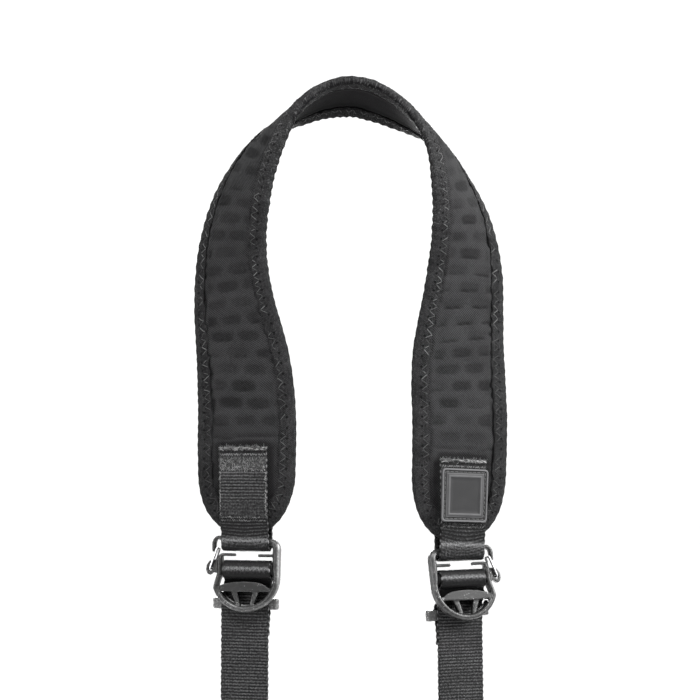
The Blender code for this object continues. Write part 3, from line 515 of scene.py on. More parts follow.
class Skin:
    """Gathers points, faces and flat places in millimetres, and makes one mesh of them."""

    def __init__(self):
        self.points = []
        self.faces = []
        self.flat = []
        self.values = {}
        self.count = 0

    def grid(self, rows, flat, wrap_rows=False, caps=False, **values):
        """A closed ring at each row; flat has one column more than the rows, to close the ring."""
        n, m, _ = rows.shape
        i, j = np.meshgrid(np.arange(n if wrap_rows else n - 1), np.arange(m), indexing="ij")
        i = i.ravel()
        j = j.ravel()
        corners = ((i, j), (i, j + 1), (i + 1, j + 1), (i + 1, j))
        quads = np.stack([self.count + a % n * m + b % m for a, b in corners], axis=1)
        self.faces += quads.tolist()
        self.flat.append(np.stack([flat[a, b] for a, b in corners], axis=1).reshape(-1, 2))
        if caps:
            last = self.count + (n - 1) * m
            self.faces.append(list(range(self.count, self.count + m))[::-1])
            self.flat.append(flat[0, :m][::-1])
            self.faces.append(list(range(last, last + m)))
            self.flat.append(flat[-1, :m])
        self.points.append(rows.reshape(-1, 3))
        for name, value in values.items():
            self.values.setdefault(name, []).append(np.broadcast_to(value, (n, m)).ravel())
        self.count += n * m

    def make(self, name, look, body="strap", replaces=()):
        mesh = bpy.data.meshes.new(name)
        mesh.from_pydata(np.concatenate(self.points).tolist(), [], self.faces)
        layer = mesh.uv_layers.new(name="flat")
        layer.data.foreach_set("uv", np.concatenate(self.flat).astype(np.float32).ravel())
        for key, parts in self.values.items():
            add_field(mesh, key, np.concatenate(parts))
        reworked(mesh, lambda bm: bmesh.ops.recalc_face_normals(bm, faces=bm.faces))
        mesh.shade_smooth()
        return add_piece(name, mesh, look, body, replaces)


def add_piece(name, mesh, look, body, replaces=()):
    mesh.materials.clear()
    mesh.materials.append(look)
    obj = add_object(name, mesh)
    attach(obj, body)
    if replaces:
        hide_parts(*replaces)
    return obj


def tube(skin, path, normal, radius, sides, pale=0.5):
    """Adds a round thread or wire along a path; the normals keep its rings from twisting."""
    ahead = unit(np.gradient(path, axis=0))
    side = unit(np.cross(ahead, normal))
    up = np.cross(side, ahead)
    angle = np.arange(sides) * 2 * pi / sides
    ring = np.cos(angle)[None, :, None] * side[:, None] + np.sin(angle)[None, :, None] * up[:, None]
    along = walked(path) / MM
    around = np.arange(sides + 1) / sides * 2 * pi * radius / MM
    flat = np.stack(np.meshgrid(along, around, indexing="ij"), axis=-1)
    skin.grid(path[:, None] + ring * radius, flat, caps=True, pale=pale)


def sew(skin, place, u, v, height, radius, sides, pale=0.5, face=1):
    """Adds a thread over a surface, on its front or on its rear face."""
    path = place(u, v, height)
    tube(skin, path, unit(place(u, v, height + face * MM) - path), radius, sides, pale)


# Materials


class Value:
    """What a node gives, so that sums and products of nodes can be written as such."""

    def __init__(self, nodes, socket):
        self.nodes = nodes
        self.socket = socket

    def __add__(self, other):
        return self.nodes.calc("ADD", self, other)

    def __sub__(self, other):
        return self.nodes.calc("SUBTRACT", self, other)

    def __mul__(self, other):
        return self.nodes.calc("MULTIPLY", self, other)

    __rmul__ = __mul__


class Nodes:
    """Short ways to wire a node tree. Flat places and pitches are in millimetres."""

    def __init__(self, tree):
        self.tree = tree

    def node(self, kind, **settings):
        node = self.tree.nodes.new(kind)
        for key, value in settings.items():
            setattr(node, key, value)
        return node

    def put(self, socket, value):
        if isinstance(value, Value):
            self.tree.links.new(value.socket, socket)
        else:
            socket.default_value = value

    def fed(self, node, values, output=0):
        """The value of a node's output, once its inputs are given by place or by name."""
        for key, value in values.items() if isinstance(values, dict) else enumerate(values):
            self.put(node.inputs[key], value)
        return Value(self, node.outputs[output])

    def calc(self, operation, *values):
        return self.fed(self.node("ShaderNodeMath", operation=operation), values)

    def fade(self, value, low, high, first=0.0, last=1.0):
        node = self.node("ShaderNodeMapRange", interpolation_type="SMOOTHSTEP")
        return self.fed(node, (value, low, high, first, last))

    def wave(self, value, pitch, start=0.0):
        """From -1 to 1 and back once each pitch."""
        return self.calc("COSINE", self.calc("MULTIPLY_ADD", value, 2 * pi / pitch, start))

    def parts(self, vector):
        """A vector's x, y and z."""
        node = self.node("ShaderNodeSeparateXYZ")
        self.put(node.inputs[0], vector)
        return [Value(self, socket) for socket in node.outputs]

    def flat(self):
        """Flat place on the cloth, and how far along and across it is."""
        where = self.fed(self.node("ShaderNodeUVMap", uv_map="flat"), ())
        return where, *self.parts(where)[:2]

    def space(self, kind="Object"):
        return self.fed(self.node("ShaderNodeTexCoord"), (), kind)

    def grain(self, where, scale, detail):
        node = self.node("ShaderNodeTexNoise")
        return self.fed(node, {"Vector": where, "Scale": scale, "Detail": detail})

    def grains(self, where, *kinds):
        """Noises, each of its own scale and detail."""
        return [self.grain(where, scale, detail) for scale, detail in kinds]

    def mottle(self, where, scale):
        """Noise from -1 to 1 with its full contrast, for spots the eye can tell apart."""
        return self.fade(self.grain(where, scale, 1.0), 0.36, 0.64, -1.0, 1.0)

    def value(self, name):
        return self.fed(self.node("ShaderNodeAttribute", attribute_name=name), (), "Fac")

    def tint(self, share, first, second):
        node = self.node("ShaderNodeMix", data_type="RGBA")
        return self.fed(node, {0: share, 6: (*first, 1.0), 7: (*second, 1.0)}, 2)

    def shade(self, share, top, dark, light):
        """Colour from dark at a share of 0 to light at the top share."""
        return self.tint(self.fade(share, 0.0, top), dark, light)


class Look(Nodes):
    """A node-based material. Its constants are set on the shader's own sockets."""

    def __init__(self, name, **constants):
        self.material = bpy.data.materials.new(name)
        self.material.use_nodes = True
        super().__init__(self.material.node_tree)
        self.shader = self.tree.nodes["Principled BSDF"]
        for key, value in constants.items():
            socket = key.replace("_", " ").title().replace("Ior", "IOR")
            self.shader.inputs[socket].default_value = value

    def done(self, color, roughness, height, strength=1.0):
        """The finished material. The height of its bump is in millimetres."""
        bump = {"Distance": MM, "Strength": strength, "Height": height}
        normal = self.fed(self.node("ShaderNodeBump"), bump)
        self.fed(self.shader, {"Base Color": color, "Roughness": roughness, "Normal": normal})
        return self.material


def cloth_look():
    """Fine dotted twill over foam with oblong holes, with painted shade in the holes, creases and
    seams and a painted patch of light on the right arm.
    """
    look = Look("pad_cloth_twill", sheen_weight=0.006, sheen_roughness=0.4, specular_ior_level=0.05)
    where, u, v = look.flat()
    dots = look.wave(u, 1.2) * look.wave(v, 1.25) + 0.35 * look.wave(u + 0.96 * v, 1.2)
    cloudy, fine, lint = look.grains(where, (0.07, 3.0), (2.6, 2.0), (0.75, 3.0))
    # Painted shade in the foam holes, creases and along the seams, and a painted patch of light on
    # the right arm
    share = (0.44 * dots + 0.6 * cloudy + 0.85 * fine + 0.75 * lint
             - 0.45 * look.value("dip") - 0.75 * look.value("seam") - 0.60)
    color = look.shade(share, 1.0, BLACK, (0.0148, 0.0148, 0.0152))
    rough = look.fade(-0.3 * dots + fine, 0.0, 1.0, 0.62, 0.85)
    return look.done(color, rough, 0.07 * dots + 0.06 * fine + 0.14 * lint)


def lining_look():
    """Plain dark knit on the side of the neck, with painted shade along its seams and under the
    apex.
    """
    look = Look("pad_lining_knit", sheen_weight=0.004, sheen_roughness=0.4, specular_ior_level=0.03)
    where, u, v = look.flat()
    loops = look.wave(u, 0.9) * look.wave(v, 0.7)
    cloudy, fine = look.grains(where, (0.05, 3.0), (2.2, 2.0))
    # Painted shade along the seams and under the apex
    share = (0.25 * loops + 0.7 * cloudy + 0.7 * fine
             - 0.7 * look.value("seam") - 0.5 * look.value("dip") - 0.2)
    color = look.shade(share, 1.0, (0.0014, 0.0014, 0.0015), (0.0075, 0.0075, 0.0078))
    return look.done(color, look.fade(fine, 0.2, 0.8, 0.75, 0.95), 0.05 * loops + 0.06 * fine)


def tape_look():
    """Knitted edging tape with needle holes beside its zigzag, and painted shade along its hem and
    on its rear face.
    """
    look = Look(
        "binding_tape_knit", sheen_weight=0.005, sheen_roughness=0.4, specular_ior_level=0.03)
    where, u, v = look.flat()
    ribs = look.wave(v, 0.62)
    loops = look.wave(u, 0.95) * look.wave(v, 1.24)
    fine, cloudy, lint, fleck = look.grains(
        where, (2.4, 2.0), (0.12, 3.0), (0.95, 3.0), (1.25, 2.0))
    half_stitch = 0.5 * STITCH / MM
    along = look.calc("PINGPONG", u + half_stitch, half_stitch)
    depth = look.calc("ABSOLUTE", v) - (ZIGZAG_OUT / MM - 0.35)
    hole = look.fade(look.calc("SQRT", along * along + depth * depth), 0.25, 0.75, 1.0, 0.0)
    rub = look.value("rub")
    fleck = look.fade(fleck, 0.58, 0.70) * (1.5 * rub + 0.25)
    # Painted shade darkens the tape along its hem, on its rear face and at the far corner by the
    # apex
    share = (0.16 * loops + 0.08 * ribs + 0.45 * cloudy + 0.75 * fine + 1.1 * fleck - 0.9 * hole
             - 0.7 * look.value("seam") + 0.7 * lint + 0.10 * rub + 0.08 * look.mottle(where, 1.1)
             - 0.57)
    color = look.shade(share, 1.5, BLACK, (0.034, 0.034, 0.0345))
    height = 0.06 * loops + 0.04 * ribs + 0.10 * fine + 0.10 * fleck + 0.28 * lint - 0.25 * hole
    return look.done(color, look.fade(fine, 0.2, 0.8, 0.70, 0.92), height)


def webbing_look():
    """Ribbed nylon webbing. Where it is rubbed, and where a painted highlight runs along its rolls,
    its ribs are lighter, in broken flecks; where it turns from the light, with a rub under 0, they
    are darker as painted shade. Its rib crests are painted lighter and its valleys darker."""
    look = Look("webbing_ribbed", sheen_weight=0.004, sheen_roughness=0.4, specular_ior_level=0.07)
    where, u, v = look.flat()
    rib = look.value("rib")
    rub = look.value("rub")
    turns = look.calc("FLOOR", look.calc("DIVIDE", u, RIB / MM))
    beads = look.wave(v + 0.9 * turns + 0.5 * u, 2.1)
    yarn = look.wave(v, 0.82)
    chevron = look.wave(look.calc("PINGPONG", v, 1.1) + u, 0.9)
    fine, lint, cloudy = look.grains(where, (2.2, 3.0), (0.9, 3.0), (0.10, 2.0))
    broken = 0.75 * rib + 0.30 * chevron + 0.40 * look.mottle(where, 1.15) - 0.40
    # Above 0 the rub is real rubbing with a painted highlight on the rolls, in broken flecks; below
    # 0 it is painted shade
    rubbed_and_painted_light = 0.78 * rub + look.calc("MAXIMUM", rub, 0.0) * broken
    rubbed_and_painted_light = rubbed_and_painted_light + look.calc("MINIMUM", rub, 0.0) * (-0.9 * rib + 0.47)
    # The rib field paints the rib crests lighter and the valleys darker: painted highlight and
    # painted shade
    share = (0.54 * rib + rib * (0.08 * beads + 0.12 * yarn) + 0.55 * fine + 0.65 * lint
             + 0.25 * cloudy + 0.85 * rubbed_and_painted_light + 0.12 * look.mottle(where, 1.05) - 0.78)
    color = look.shade(share, 1.35, BLACK, (0.062, 0.062, 0.063))
    rough = look.fade(fine - 0.3 * rib, 0.0, 1.0, 0.45, 0.75)
    return look.done(color, rough, rib * (0.03 * beads + 0.03 * yarn) + 0.12 * fine + 0.10 * lint)


def thread_look(name, dark, light):
    """Twisted sewing thread or yarn, each length as pale as its own field says."""
    look = Look(name, specular_ior_level=0.2)
    where, u, v = look.flat()
    twist = look.wave(u + v, 0.5)
    uneven = look.grain(where, 0.35, 2.0)
    share = 0.5 * uneven + 0.10 * twist + look.value("pale") - 0.25
    color = look.shade(share, 1.0, (dark,) * 3, (light,) * 3)
    return look.done(color, look.fade(uneven, 0.2, 0.8, 0.45, 0.7), 0.05 * twist)


def casting_look(name, dark, light):
    """Dark blasted casting with fine bright specks and paler worn edges."""
    look = Look(name, metallic=0.65, specular_ior_level=0.5)
    where = look.space()
    grit, coarse, sparse = look.grains(where, (2600.0, 3.0), (260.0, 2.0), (700.0, 1.0))
    cells = look.node("ShaderNodeTexVoronoi")
    cells = look.fed(cells, {"Vector": where, "Scale": 900.0}, "Distance")
    speck = look.fade(cells, 0.14, 0.30, 1.0, 0.0) * look.fade(sparse, 0.55, 0.64)
    worn = look.fade(look.fed(look.node("ShaderNodeNewGeometry"), (), "Pointiness"), 0.50, 0.60)
    # The field from the solid's places adds a painted highlight on the outer flank and painted shade
    # on the lip
    share = (0.7 * grit + 0.35 * coarse + 1.1 * speck + 0.5 * worn + 0.75 * look.value("painted_light_and_shade")
             + 0.10 * look.mottle(where, 1000.0) - 0.3)
    color = look.shade(share, 1.9, (dark,) * 3, (light,) * 3)
    rough = look.fade(grit - 0.5 * worn, 0.2, 0.9, 0.36, 0.56)
    return look.done(color, rough, 0.07 * grit + 0.05 * speck, 0.8)


def steel_look(name, light):
    """Bright wire with a painted highlight along its front and rear and painted shade on its flanks.
    """
    look = Look(name, metallic=0.3)
    scratch, cloudy = look.grains(look.space(), (1800.0, 3.0), (300.0, 1.0))
    # The crown, round the wire, paints its front and rear pale and its flanks dark: painted
    # highlight and painted shade
    crown = look.calc("ABSOLUTE", look.wave(look.flat()[2], pi * WIRE / MM))
    share = look.fade(crown, 0.86, 0.985) + 0.2 * cloudy - 0.1
    color = look.tint(share, (0.014, 0.014, 0.015), (light, light, 1.02 * light))
    return look.done(color, look.fade(scratch, 0.2, 0.8, 0.46, 0.60), 0.004 * scratch, 0.4)


def rubber_look():
    """Moulded rubber with a fine grain, paler along its rim."""
    look = Look("patch_moulded_rubber", specular_ior_level=0.16)
    grain, cloudy = look.grains(look.flat()[0], (3.2, 3.0), (0.12, 2.0))
    share = 0.45 * grain + 0.35 * cloudy + 0.75 * look.value("rim") - 0.26
    color = look.shade(share, 1.1, (0.0045, 0.0045, 0.0048), (0.043, 0.043, 0.044))
    return look.done(color, look.fade(grain, 0.2, 0.8, 0.48, 0.66), 0.06 * grain, 0.8)


# Pad


def foam_holes(u, v, length):
    """From 0 on the plain cloth to 1 over a hole in the foam, with the creases beside the holes."""
    share = u / length
    slant = 0.28 * (bell(share, 0.175, 0.05) - bell(share, 0.795, 0.045))
    level = u + slant * v
    row = np.floor(level / HOLE_ROW)
    from_row = level - (row + 0.5) * HOLE_ROW
    shift = row % 2 * 0.5
    column = np.round(v / HOLE_COLUMN - shift) + shift
    across = np.abs((v - column * HOLE_COLUMN) / HOLE_LENGTH)
    reach = across ** HOLE_ROUNDNESS + np.abs(from_row / HOLE_WIDTH) ** HOLE_ROUNDNESS
    size = 1.0 + 0.15 * noise(row, column * 7.3, 1.0, 5)
    hole = smooth(1.22, 0.80, reach ** (1 / HOLE_ROUNDNESS) / size)
    seen = 0.66 + 0.50 * noise(row * 1.7, column * 3.1, 1.0, 8)
    worked = bell(share, 0.775, 0.045)
    low = 0.95 * HOLE_WIDTH * np.where(u > length / 2, 1.0, -1.0)
    crease = bell(from_row, low, 0.55 * MM) * smooth(1.1, 0.5, across)
    often = 0.35 + 0.9 * noise(row * 2.3, column * 5.1, 1.0, 9) + 0.25 * smooth(0.5, 0.8, share)
    dips = hole * np.clip(seen, 0.1, 1.0) * (1.0 - 0.55 * worked)
    dips = dips + (0.9 + 0.8 * worked) * crease * np.clip(often + 0.8 * worked, 0.0, 1.0)
    return dips * smooth(46 * MM, 54 * MM, np.minimum(u, length - u))


def seam_pull(u, v, near):
    """How far the tape's seam draws the cloth in, and the creases that run out of it."""
    edge = np.sign(v)
    pull = noise(u, edge * 40.0, 0.5 * STITCH, 21) + 0.6 * noise(u, edge * 40.0, 2.2 * STITCH, 22)
    pull = np.clip(0.30 + 1.1 * pull, 0.0, 1.3)
    gather = np.cos(2 * pi * u / STITCH + 2.0 * noise(u, 0.0, 17 * MM, 3))
    line = 0.5 * MM + 0.5 * MM * noise(u, edge * 9.0, 0.8 * STITCH, 23)
    seam = bell(near, line, 1.0 * MM) * pull
    crease = np.exp(-np.clip(near, 0, None) / (4.0 * MM)) * np.maximum(0.0, gather) ** 2
    return seam, crease * (0.5 + 0.5 * pull)


def webbing_press(u, v, near, sides):
    """How far the sewn webbings press the cloth, and the crease past the end of each."""
    press = np.zeros_like(u)
    line = np.zeros_like(u)
    for side in sides:
        up = side.along(u)
        beside = np.abs(v - side.webbing_step(np.clip(up, 0.0, side.hem))) - WEBBING_WIDTH / 2
        sewn = smooth(side.hem + 2.5 * MM, side.hem - 1.0 * MM, up)
        press += bell(beside, 0.8 * MM, 2.6 * MM) * sewn
        press += bell(up, side.hem + 1.2 * MM, 1.6 * MM) * smooth(1.5 * MM, -1.0 * MM, beside)
        level = side.hem + 5.0 * MM + 0.9 * MM * noise(v, 0.0, 9 * MM, 41)
        line += bell(up, level, 0.5 * MM) * smooth(0.0, 2 * MM, near)
    return press + 0.7 * line, line


def make_pad(ribbon, sides, cloth, lining):
    """The padded shell: front cloth with its foam holes and creases, and a quieter lining. Both
    carry painted shade along their seams; the cloth also in its holes and creases, the lining under
    the apex.
    """
    along = ribbon.rows(first=0.03, round_rows=26, straight_rows=430, inset=CORE_INSET)
    shares = np.linspace(-1.0, 1.0, PAD_COLUMNS)
    u = np.repeat(along[:, None], len(shares), axis=1)
    v = shares * ribbon.outline(along, CORE_INSET)[:, None]
    core = ribbon.core_height(u, v)
    near = ribbon.inset(u, v) - BINDING_REACH
    seam, crease = seam_pull(u, v, near)
    press, line = webbing_press(u, v, near, sides)
    holes = foam_holes(u, v, ribbon.length) * smooth(0.0, 3 * MM, near)
    wavy = noise(u, v, 14 * MM, 31) * 0.22 + noise(u, v, 5.5 * MM, 32) * 0.09
    beside = smooth(0, 6 * MM, near) * smooth(18 * MM, 6 * MM, near)
    wavy = wavy + 0.18 * noise(u, v * 0.25, 4.2 * MM, 33) * beside
    quilt = noise(u, v, 16 * MM, 51) * 0.15 + noise(u, v, 6 * MM, 52) * 0.06
    edge = smooth(-6 * MM, 1.0 * MM, near)
    swell = 0.42 * bell(near, 1.3 * MM, 1.3 * MM)
    out = edge * (wavy + swell - 0.60 * seam - 0.30 * crease - 0.45 * holes)
    out = MM * (out - 0.30 * line - 0.75 * np.clip(press, 0, 1) * edge)
    inner = MM * edge * (quilt + swell - 0.45 * seam - 0.2 * crease)
    rear = ribbon.place(u, v, -core - inner)[:, ::-1]
    rows = np.hstack([ribbon.place(u, v, core + out), rear])
    flat = flat_places(u[:, :1], np.hstack([v, v[:, ::-1] + REAR_FLAT, v[:, :1]]))

    # Painted shade along the tape's seam, stronger on one edge of each arm, in the seam's creases
    # and beside the sewn webbings and the line past their ends
    outer = np.where(v > 0, 0.35, 0.75)
    dark = outer * (0.85 * seam + 0.45 * crease) + 0.55 * press
    dark = np.clip(dark, 0.0, 1.0) * smooth(-1.0 * MM, 0.0, near)
    # Painted shade on the lining under the apex
    shade = 0.9 * smooth(140 * MM, 85 * MM, np.abs(u - 0.5 * ribbon.length))
    # Painted shade in the foam holes' dents and the creases beside them, less a painted patch of
    # light on the upper right arm
    dips = holes - 0.30 * bell(u / ribbon.length, 0.655, 0.05)
    skin = Skin()
    skin.grid(rows, flat, caps=True, dip=np.hstack([dips, shade]),
              seam=np.hstack([dark, 0.9 * dark[:, ::-1]]))
    pad = skin.make("pad_shell", cloth, replaces=("neck_pad",))
    pad.data.materials.append(lining)
    index = np.zeros(len(pad.data.polygons), np.int32)
    quads = np.tile(np.arange(rows.shape[1]) >= PAD_COLUMNS - 1, len(along) - 1)
    index[:len(quads)] = quads
    pad.data.polygons.foreach_set("material_index", index)


class Edge:
    """The pad's outline, walked once round at an even pace."""

    def __init__(self, ribbon, step):
        self.ribbon = ribbon
        along = ribbon.rows(first=0.0, round_rows=120, straight_rows=400)
        half = ribbon.outline(along)
        near = np.stack([along, half], axis=1)
        far = np.stack([along[::-1], -half[::-1]], axis=1)
        loop = np.concatenate([[[0.0, 0.0]], near, [[ribbon.length, 0.0]], far, [[0.0, 0.0]]])
        run = walked(loop)
        self.length = float(run[-1])
        count = int(round(self.length / step))
        self.at = np.arange(count) * self.length / count
        self.loop = between(self.at, run, loop)
        ahead = unit(np.roll(self.loop, -2, axis=0) - np.roll(self.loop, 2, axis=0))
        self.out = np.stack([-ahead[:, 1], ahead[:, 0]], axis=1)
        self.stitches = round(self.length / STITCH)
        self.pitch = self.length / self.stitches

    def flat(self, at, inset):
        """Place on the flat pad at a distance round it and in from its edge."""
        at = np.asarray(at) % self.length
        wrapped = np.append(self.at, self.length)
        loop, out = (between(at, wrapped, np.concatenate([table, table[:1]]))
                     for table in (self.loop, self.out))
        return loop - unit(out) * np.asarray(inset)[..., None]

    def core_height(self, at, inset):
        """The pad's skin under the tape."""
        return self.ribbon.core_height(*np.moveaxis(self.flat(at, inset), -1, 0))

    def height(self, at, inset):
        """Outer skin of the tape above the pad's middle."""
        core = self.core_height(at, np.maximum(inset, BINDING_EDGE))
        phase = 2 * pi * at / self.pitch
        pressed = 0.30 * bell(inset, 0.5 * (ZIGZAG_IN + ZIGZAG_OUT), 1.7 * MM)
        puffed = 0.10 * np.cos(phase) * bell(inset, 2.6 * MM, 1.6 * MM)
        puffed = puffed + 0.14 * noise(at, inset, 3.4 * MM, 61)
        puffed = puffed + 0.10 * noise(at, inset, 9 * MM, 62)
        hem = 0.85 * smooth(6.5 * MM, 8.5 * MM, inset)
        return core + TAPE_GAP + BINDING_WALL + MM * (puffed - pressed - hem)

    def place(self, at, inset, height):
        flat = self.flat(at, inset)
        return self.ribbon.place(flat[..., 0], flat[..., 1], height)


def tape_ring(edge, reach, scallop):
    """Insets and heights round the tape's section: its outer skin from the front hem over the fold
    to the rear hem, and the inner skin back."""
    at = edge.at[:, None]
    insets = reach * TAPE_SHARES
    nudged = insets - scallop * smooth(6 * MM, 1 * MM, insets)
    inner = edge.core_height(at, insets) + 0.10 * MM + 0.44 * MM * smooth(1.0, 0.6, TAPE_SHARES)
    fold = np.full_like(at, BINDING_EDGE)
    ring = []
    for skin, last, wall in ((edge.height(at, insets), edge.height(at, fold), 0.0),
                             (inner, edge.core_height(at, fold) + 0.54 * MM, BINDING_WALL)):
        folded = wall + (BINDING_EDGE - wall) * (1 - np.sin(TAPE_FOLD)) - scallop
        inset = np.hstack([nudged, folded])
        height = np.hstack([skin, last * np.cos(TAPE_FOLD)])
        ring.append((np.hstack([inset, inset[:, -2::-1]]),
                     np.hstack([height, -height[:, -2::-1]])))
    (out_inset, out_height), (in_inset, in_height) = ring
    return (np.hstack([out_inset, in_inset[:, ::-1]]),
            np.hstack([out_height, in_height[:, ::-1]]))


def make_tape(ribbon, edge, look):
    """The tape folded over the pad's edge: scalloped, with an uneven hem, paler where worn, and with
    painted shade along its hem seam, on its rear face and at the far corner by the apex.
    """
    at = edge.at[:, None]
    ripple = np.cos(2 * pi * at / edge.pitch)
    along = edge.loop[:, :1] / ribbon.length
    top = smooth(0.20, 0.34, along) * smooth(0.80, 0.66, along)
    uneven = 1.1 * noise(at, 0.0, 4.6 * MM, 71) + 0.7 * noise(at, 0.0, 13 * MM, 72)
    scallop = (0.10 + 0.15 * top) * MM * (ripple + uneven)
    reach = BINDING_REACH + 0.25 * MM * ripple + 0.62 * MM * noise(at, 0.0, 2.3 * MM, 73)
    insets, heights = tape_ring(edge, reach, scallop)
    around = np.broadcast_to(at, insets.shape)
    signed = insets * np.where(heights >= 0, 1.0, -1.0)
    signed[:, signed.shape[1] // 2:] += INNER_FLAT
    signed = np.hstack([signed, signed[:, :1]])
    signed = np.concatenate([signed, signed[:1]])
    flat = flat_places(np.append(edge.at, edge.length)[:, None] * (STITCH / edge.pitch), signed)

    # Painted shade along the tape's hem seam, stronger on one edge of each arm, broken in places
    outer_edge = np.where(edge.loop[:, 1:] > 0, 0.35, 0.75)
    broken = np.clip(0.30 + 1.1 * noise(around, np.sign(heights) * 7.0, 0.5 * STITCH, 74), 0.0, 1.0)
    seam = outer_edge * (0.9 * bell(insets, 8.5 * MM, 0.6 * MM) * broken
                         + 0.15 * bell(insets, 5.9 * MM, 1.6 * MM))
    # Painted shade on the rear face and, darker, at the far corner by the apex
    far_corner = bell(along, 0.58, 0.035) * (edge.loop[:, 1:] < 0)
    seam = seam + 0.45 * smooth(0.5 * MM, -1.5 * MM, heights)
    seam = seam + 0.8 * far_corner * smooth(1.5 * MM, 0.0, heights)
    worn = smooth(0.30, 0.42, along) * smooth(0.72, 0.62, along)
    worn = worn * (0.75 + 0.5 * noise(around, insets, 9 * MM, 75))
    skin = Skin()
    rows = edge.place(around, insets, heights)
    skin.grid(rows, flat, wrap_rows=True, seam=seam, rub=np.clip(worn, 0.0, 1.0))
    skin.make("bound_edge", look, replaces=("edge_binding",))


def make_zigzag(edge, name, look, face):
    """One thread zigzagging round a face of the tape, dipping in at each needle hole."""
    rng = np.random.default_rng(81 + face)
    turns = 2 * edge.stitches
    turn = np.arange(turns)
    corner_at = (turn + 0.5) * 0.5 * edge.pitch + rng.normal(0.0, 0.22, turns) * MM
    corner_in = np.where(turn % 2, ZIGZAG_OUT, ZIGZAG_IN) + rng.normal(0.0, 0.26, turns) * MM
    corner_at = np.append(corner_at, corner_at[0] + edge.length)
    corner_in = np.append(corner_in, corner_in[0])
    share = np.linspace(0.0, 1.0, 7)
    skin = Skin()
    for k in range(turns):
        at = corner_at[k] + (corner_at[k + 1] - corner_at[k]) * share
        inset = corner_in[k] + (corner_in[k + 1] - corner_in[k]) * share
        sunk = rng.choice([0.0, 0.06, 0.14, 0.24], p=[0.35, 0.25, 0.22, 0.18])
        lift = MM * (0.26 * np.sin(pi * share) ** 0.6 - 0.20 - sunk)
        at = at + rng.normal(0.0, 0.16) * MM * np.sin(pi * share)
        height = face * (edge.height(at, inset) + lift)
        from_apex = at[3] / edge.length % 0.5
        dim = 0.55 if from_apex < 0.10 or from_apex > 0.42 else 1.0
        pale = dim * rng.uniform(0.0, 1.0) - 0.25 * (1.0 - dim)
        sew(skin, edge.place, at, inset, height, THREAD, 5, pale, face)
    skin.make(name, look)


# Webbing


class Run:
    """A smooth, evenly stepped line through a webbing's stations, with its outer side."""

    def __init__(self, stations, outer, step):
        points = np.array([list(p) for p, _ in stations])
        across = unit(np.array([list(a) for _, a in stations]))
        knots = walked(points)
        spans = np.diff(knots)
        slope = np.diff(points, axis=0) / spans[:, None]
        weight = spans[:, None]
        tangent = np.empty_like(points)
        tangent[1:-1] = slope[:-1] * weight[1:] + slope[1:] * weight[:-1]
        tangent[1:-1] /= weight[:-1] + weight[1:]
        tangent[0] = slope[0]
        tangent[-1] = slope[-1]
        t = np.linspace(0.0, knots[-1], 4000)
        i = np.clip(np.searchsorted(knots, t, side="right") - 1, 0, len(spans) - 1)
        h = spans[i][:, None]
        s = ((t - knots[i]) / spans[i])[:, None]
        dense = ((1 + 2 * s) * (1 - s) ** 2 * points[i] + s * (1 - s) ** 2 * h * tangent[i]
                 + ease(s) * points[i + 1] + s * s * (s - 1) * h * tangent[i + 1])
        sideways = across[i] * (1 - ease(s)) + across[i + 1] * ease(s)
        run = walked(dense)
        self.at = np.linspace(0.0, run[-1], int(run[-1] / step) + 1)
        self.middle = between(self.at, run, dense)
        self.across = unit(between(self.at, run, sideways))
        self.normal = unit(np.cross(self.across, unit(np.gradient(self.middle, axis=0))))
        if self.normal[0] @ np.array(outer) < 0:
            self.normal = -self.normal

    def place(self, at, across, height):
        middle, sideways, normal = (
            between(at, self.at, table) for table in (self.middle, self.across, self.normal))
        return (middle + sideways * np.asarray(across)[..., None]
                + unit(normal) * np.asarray(height)[..., None])


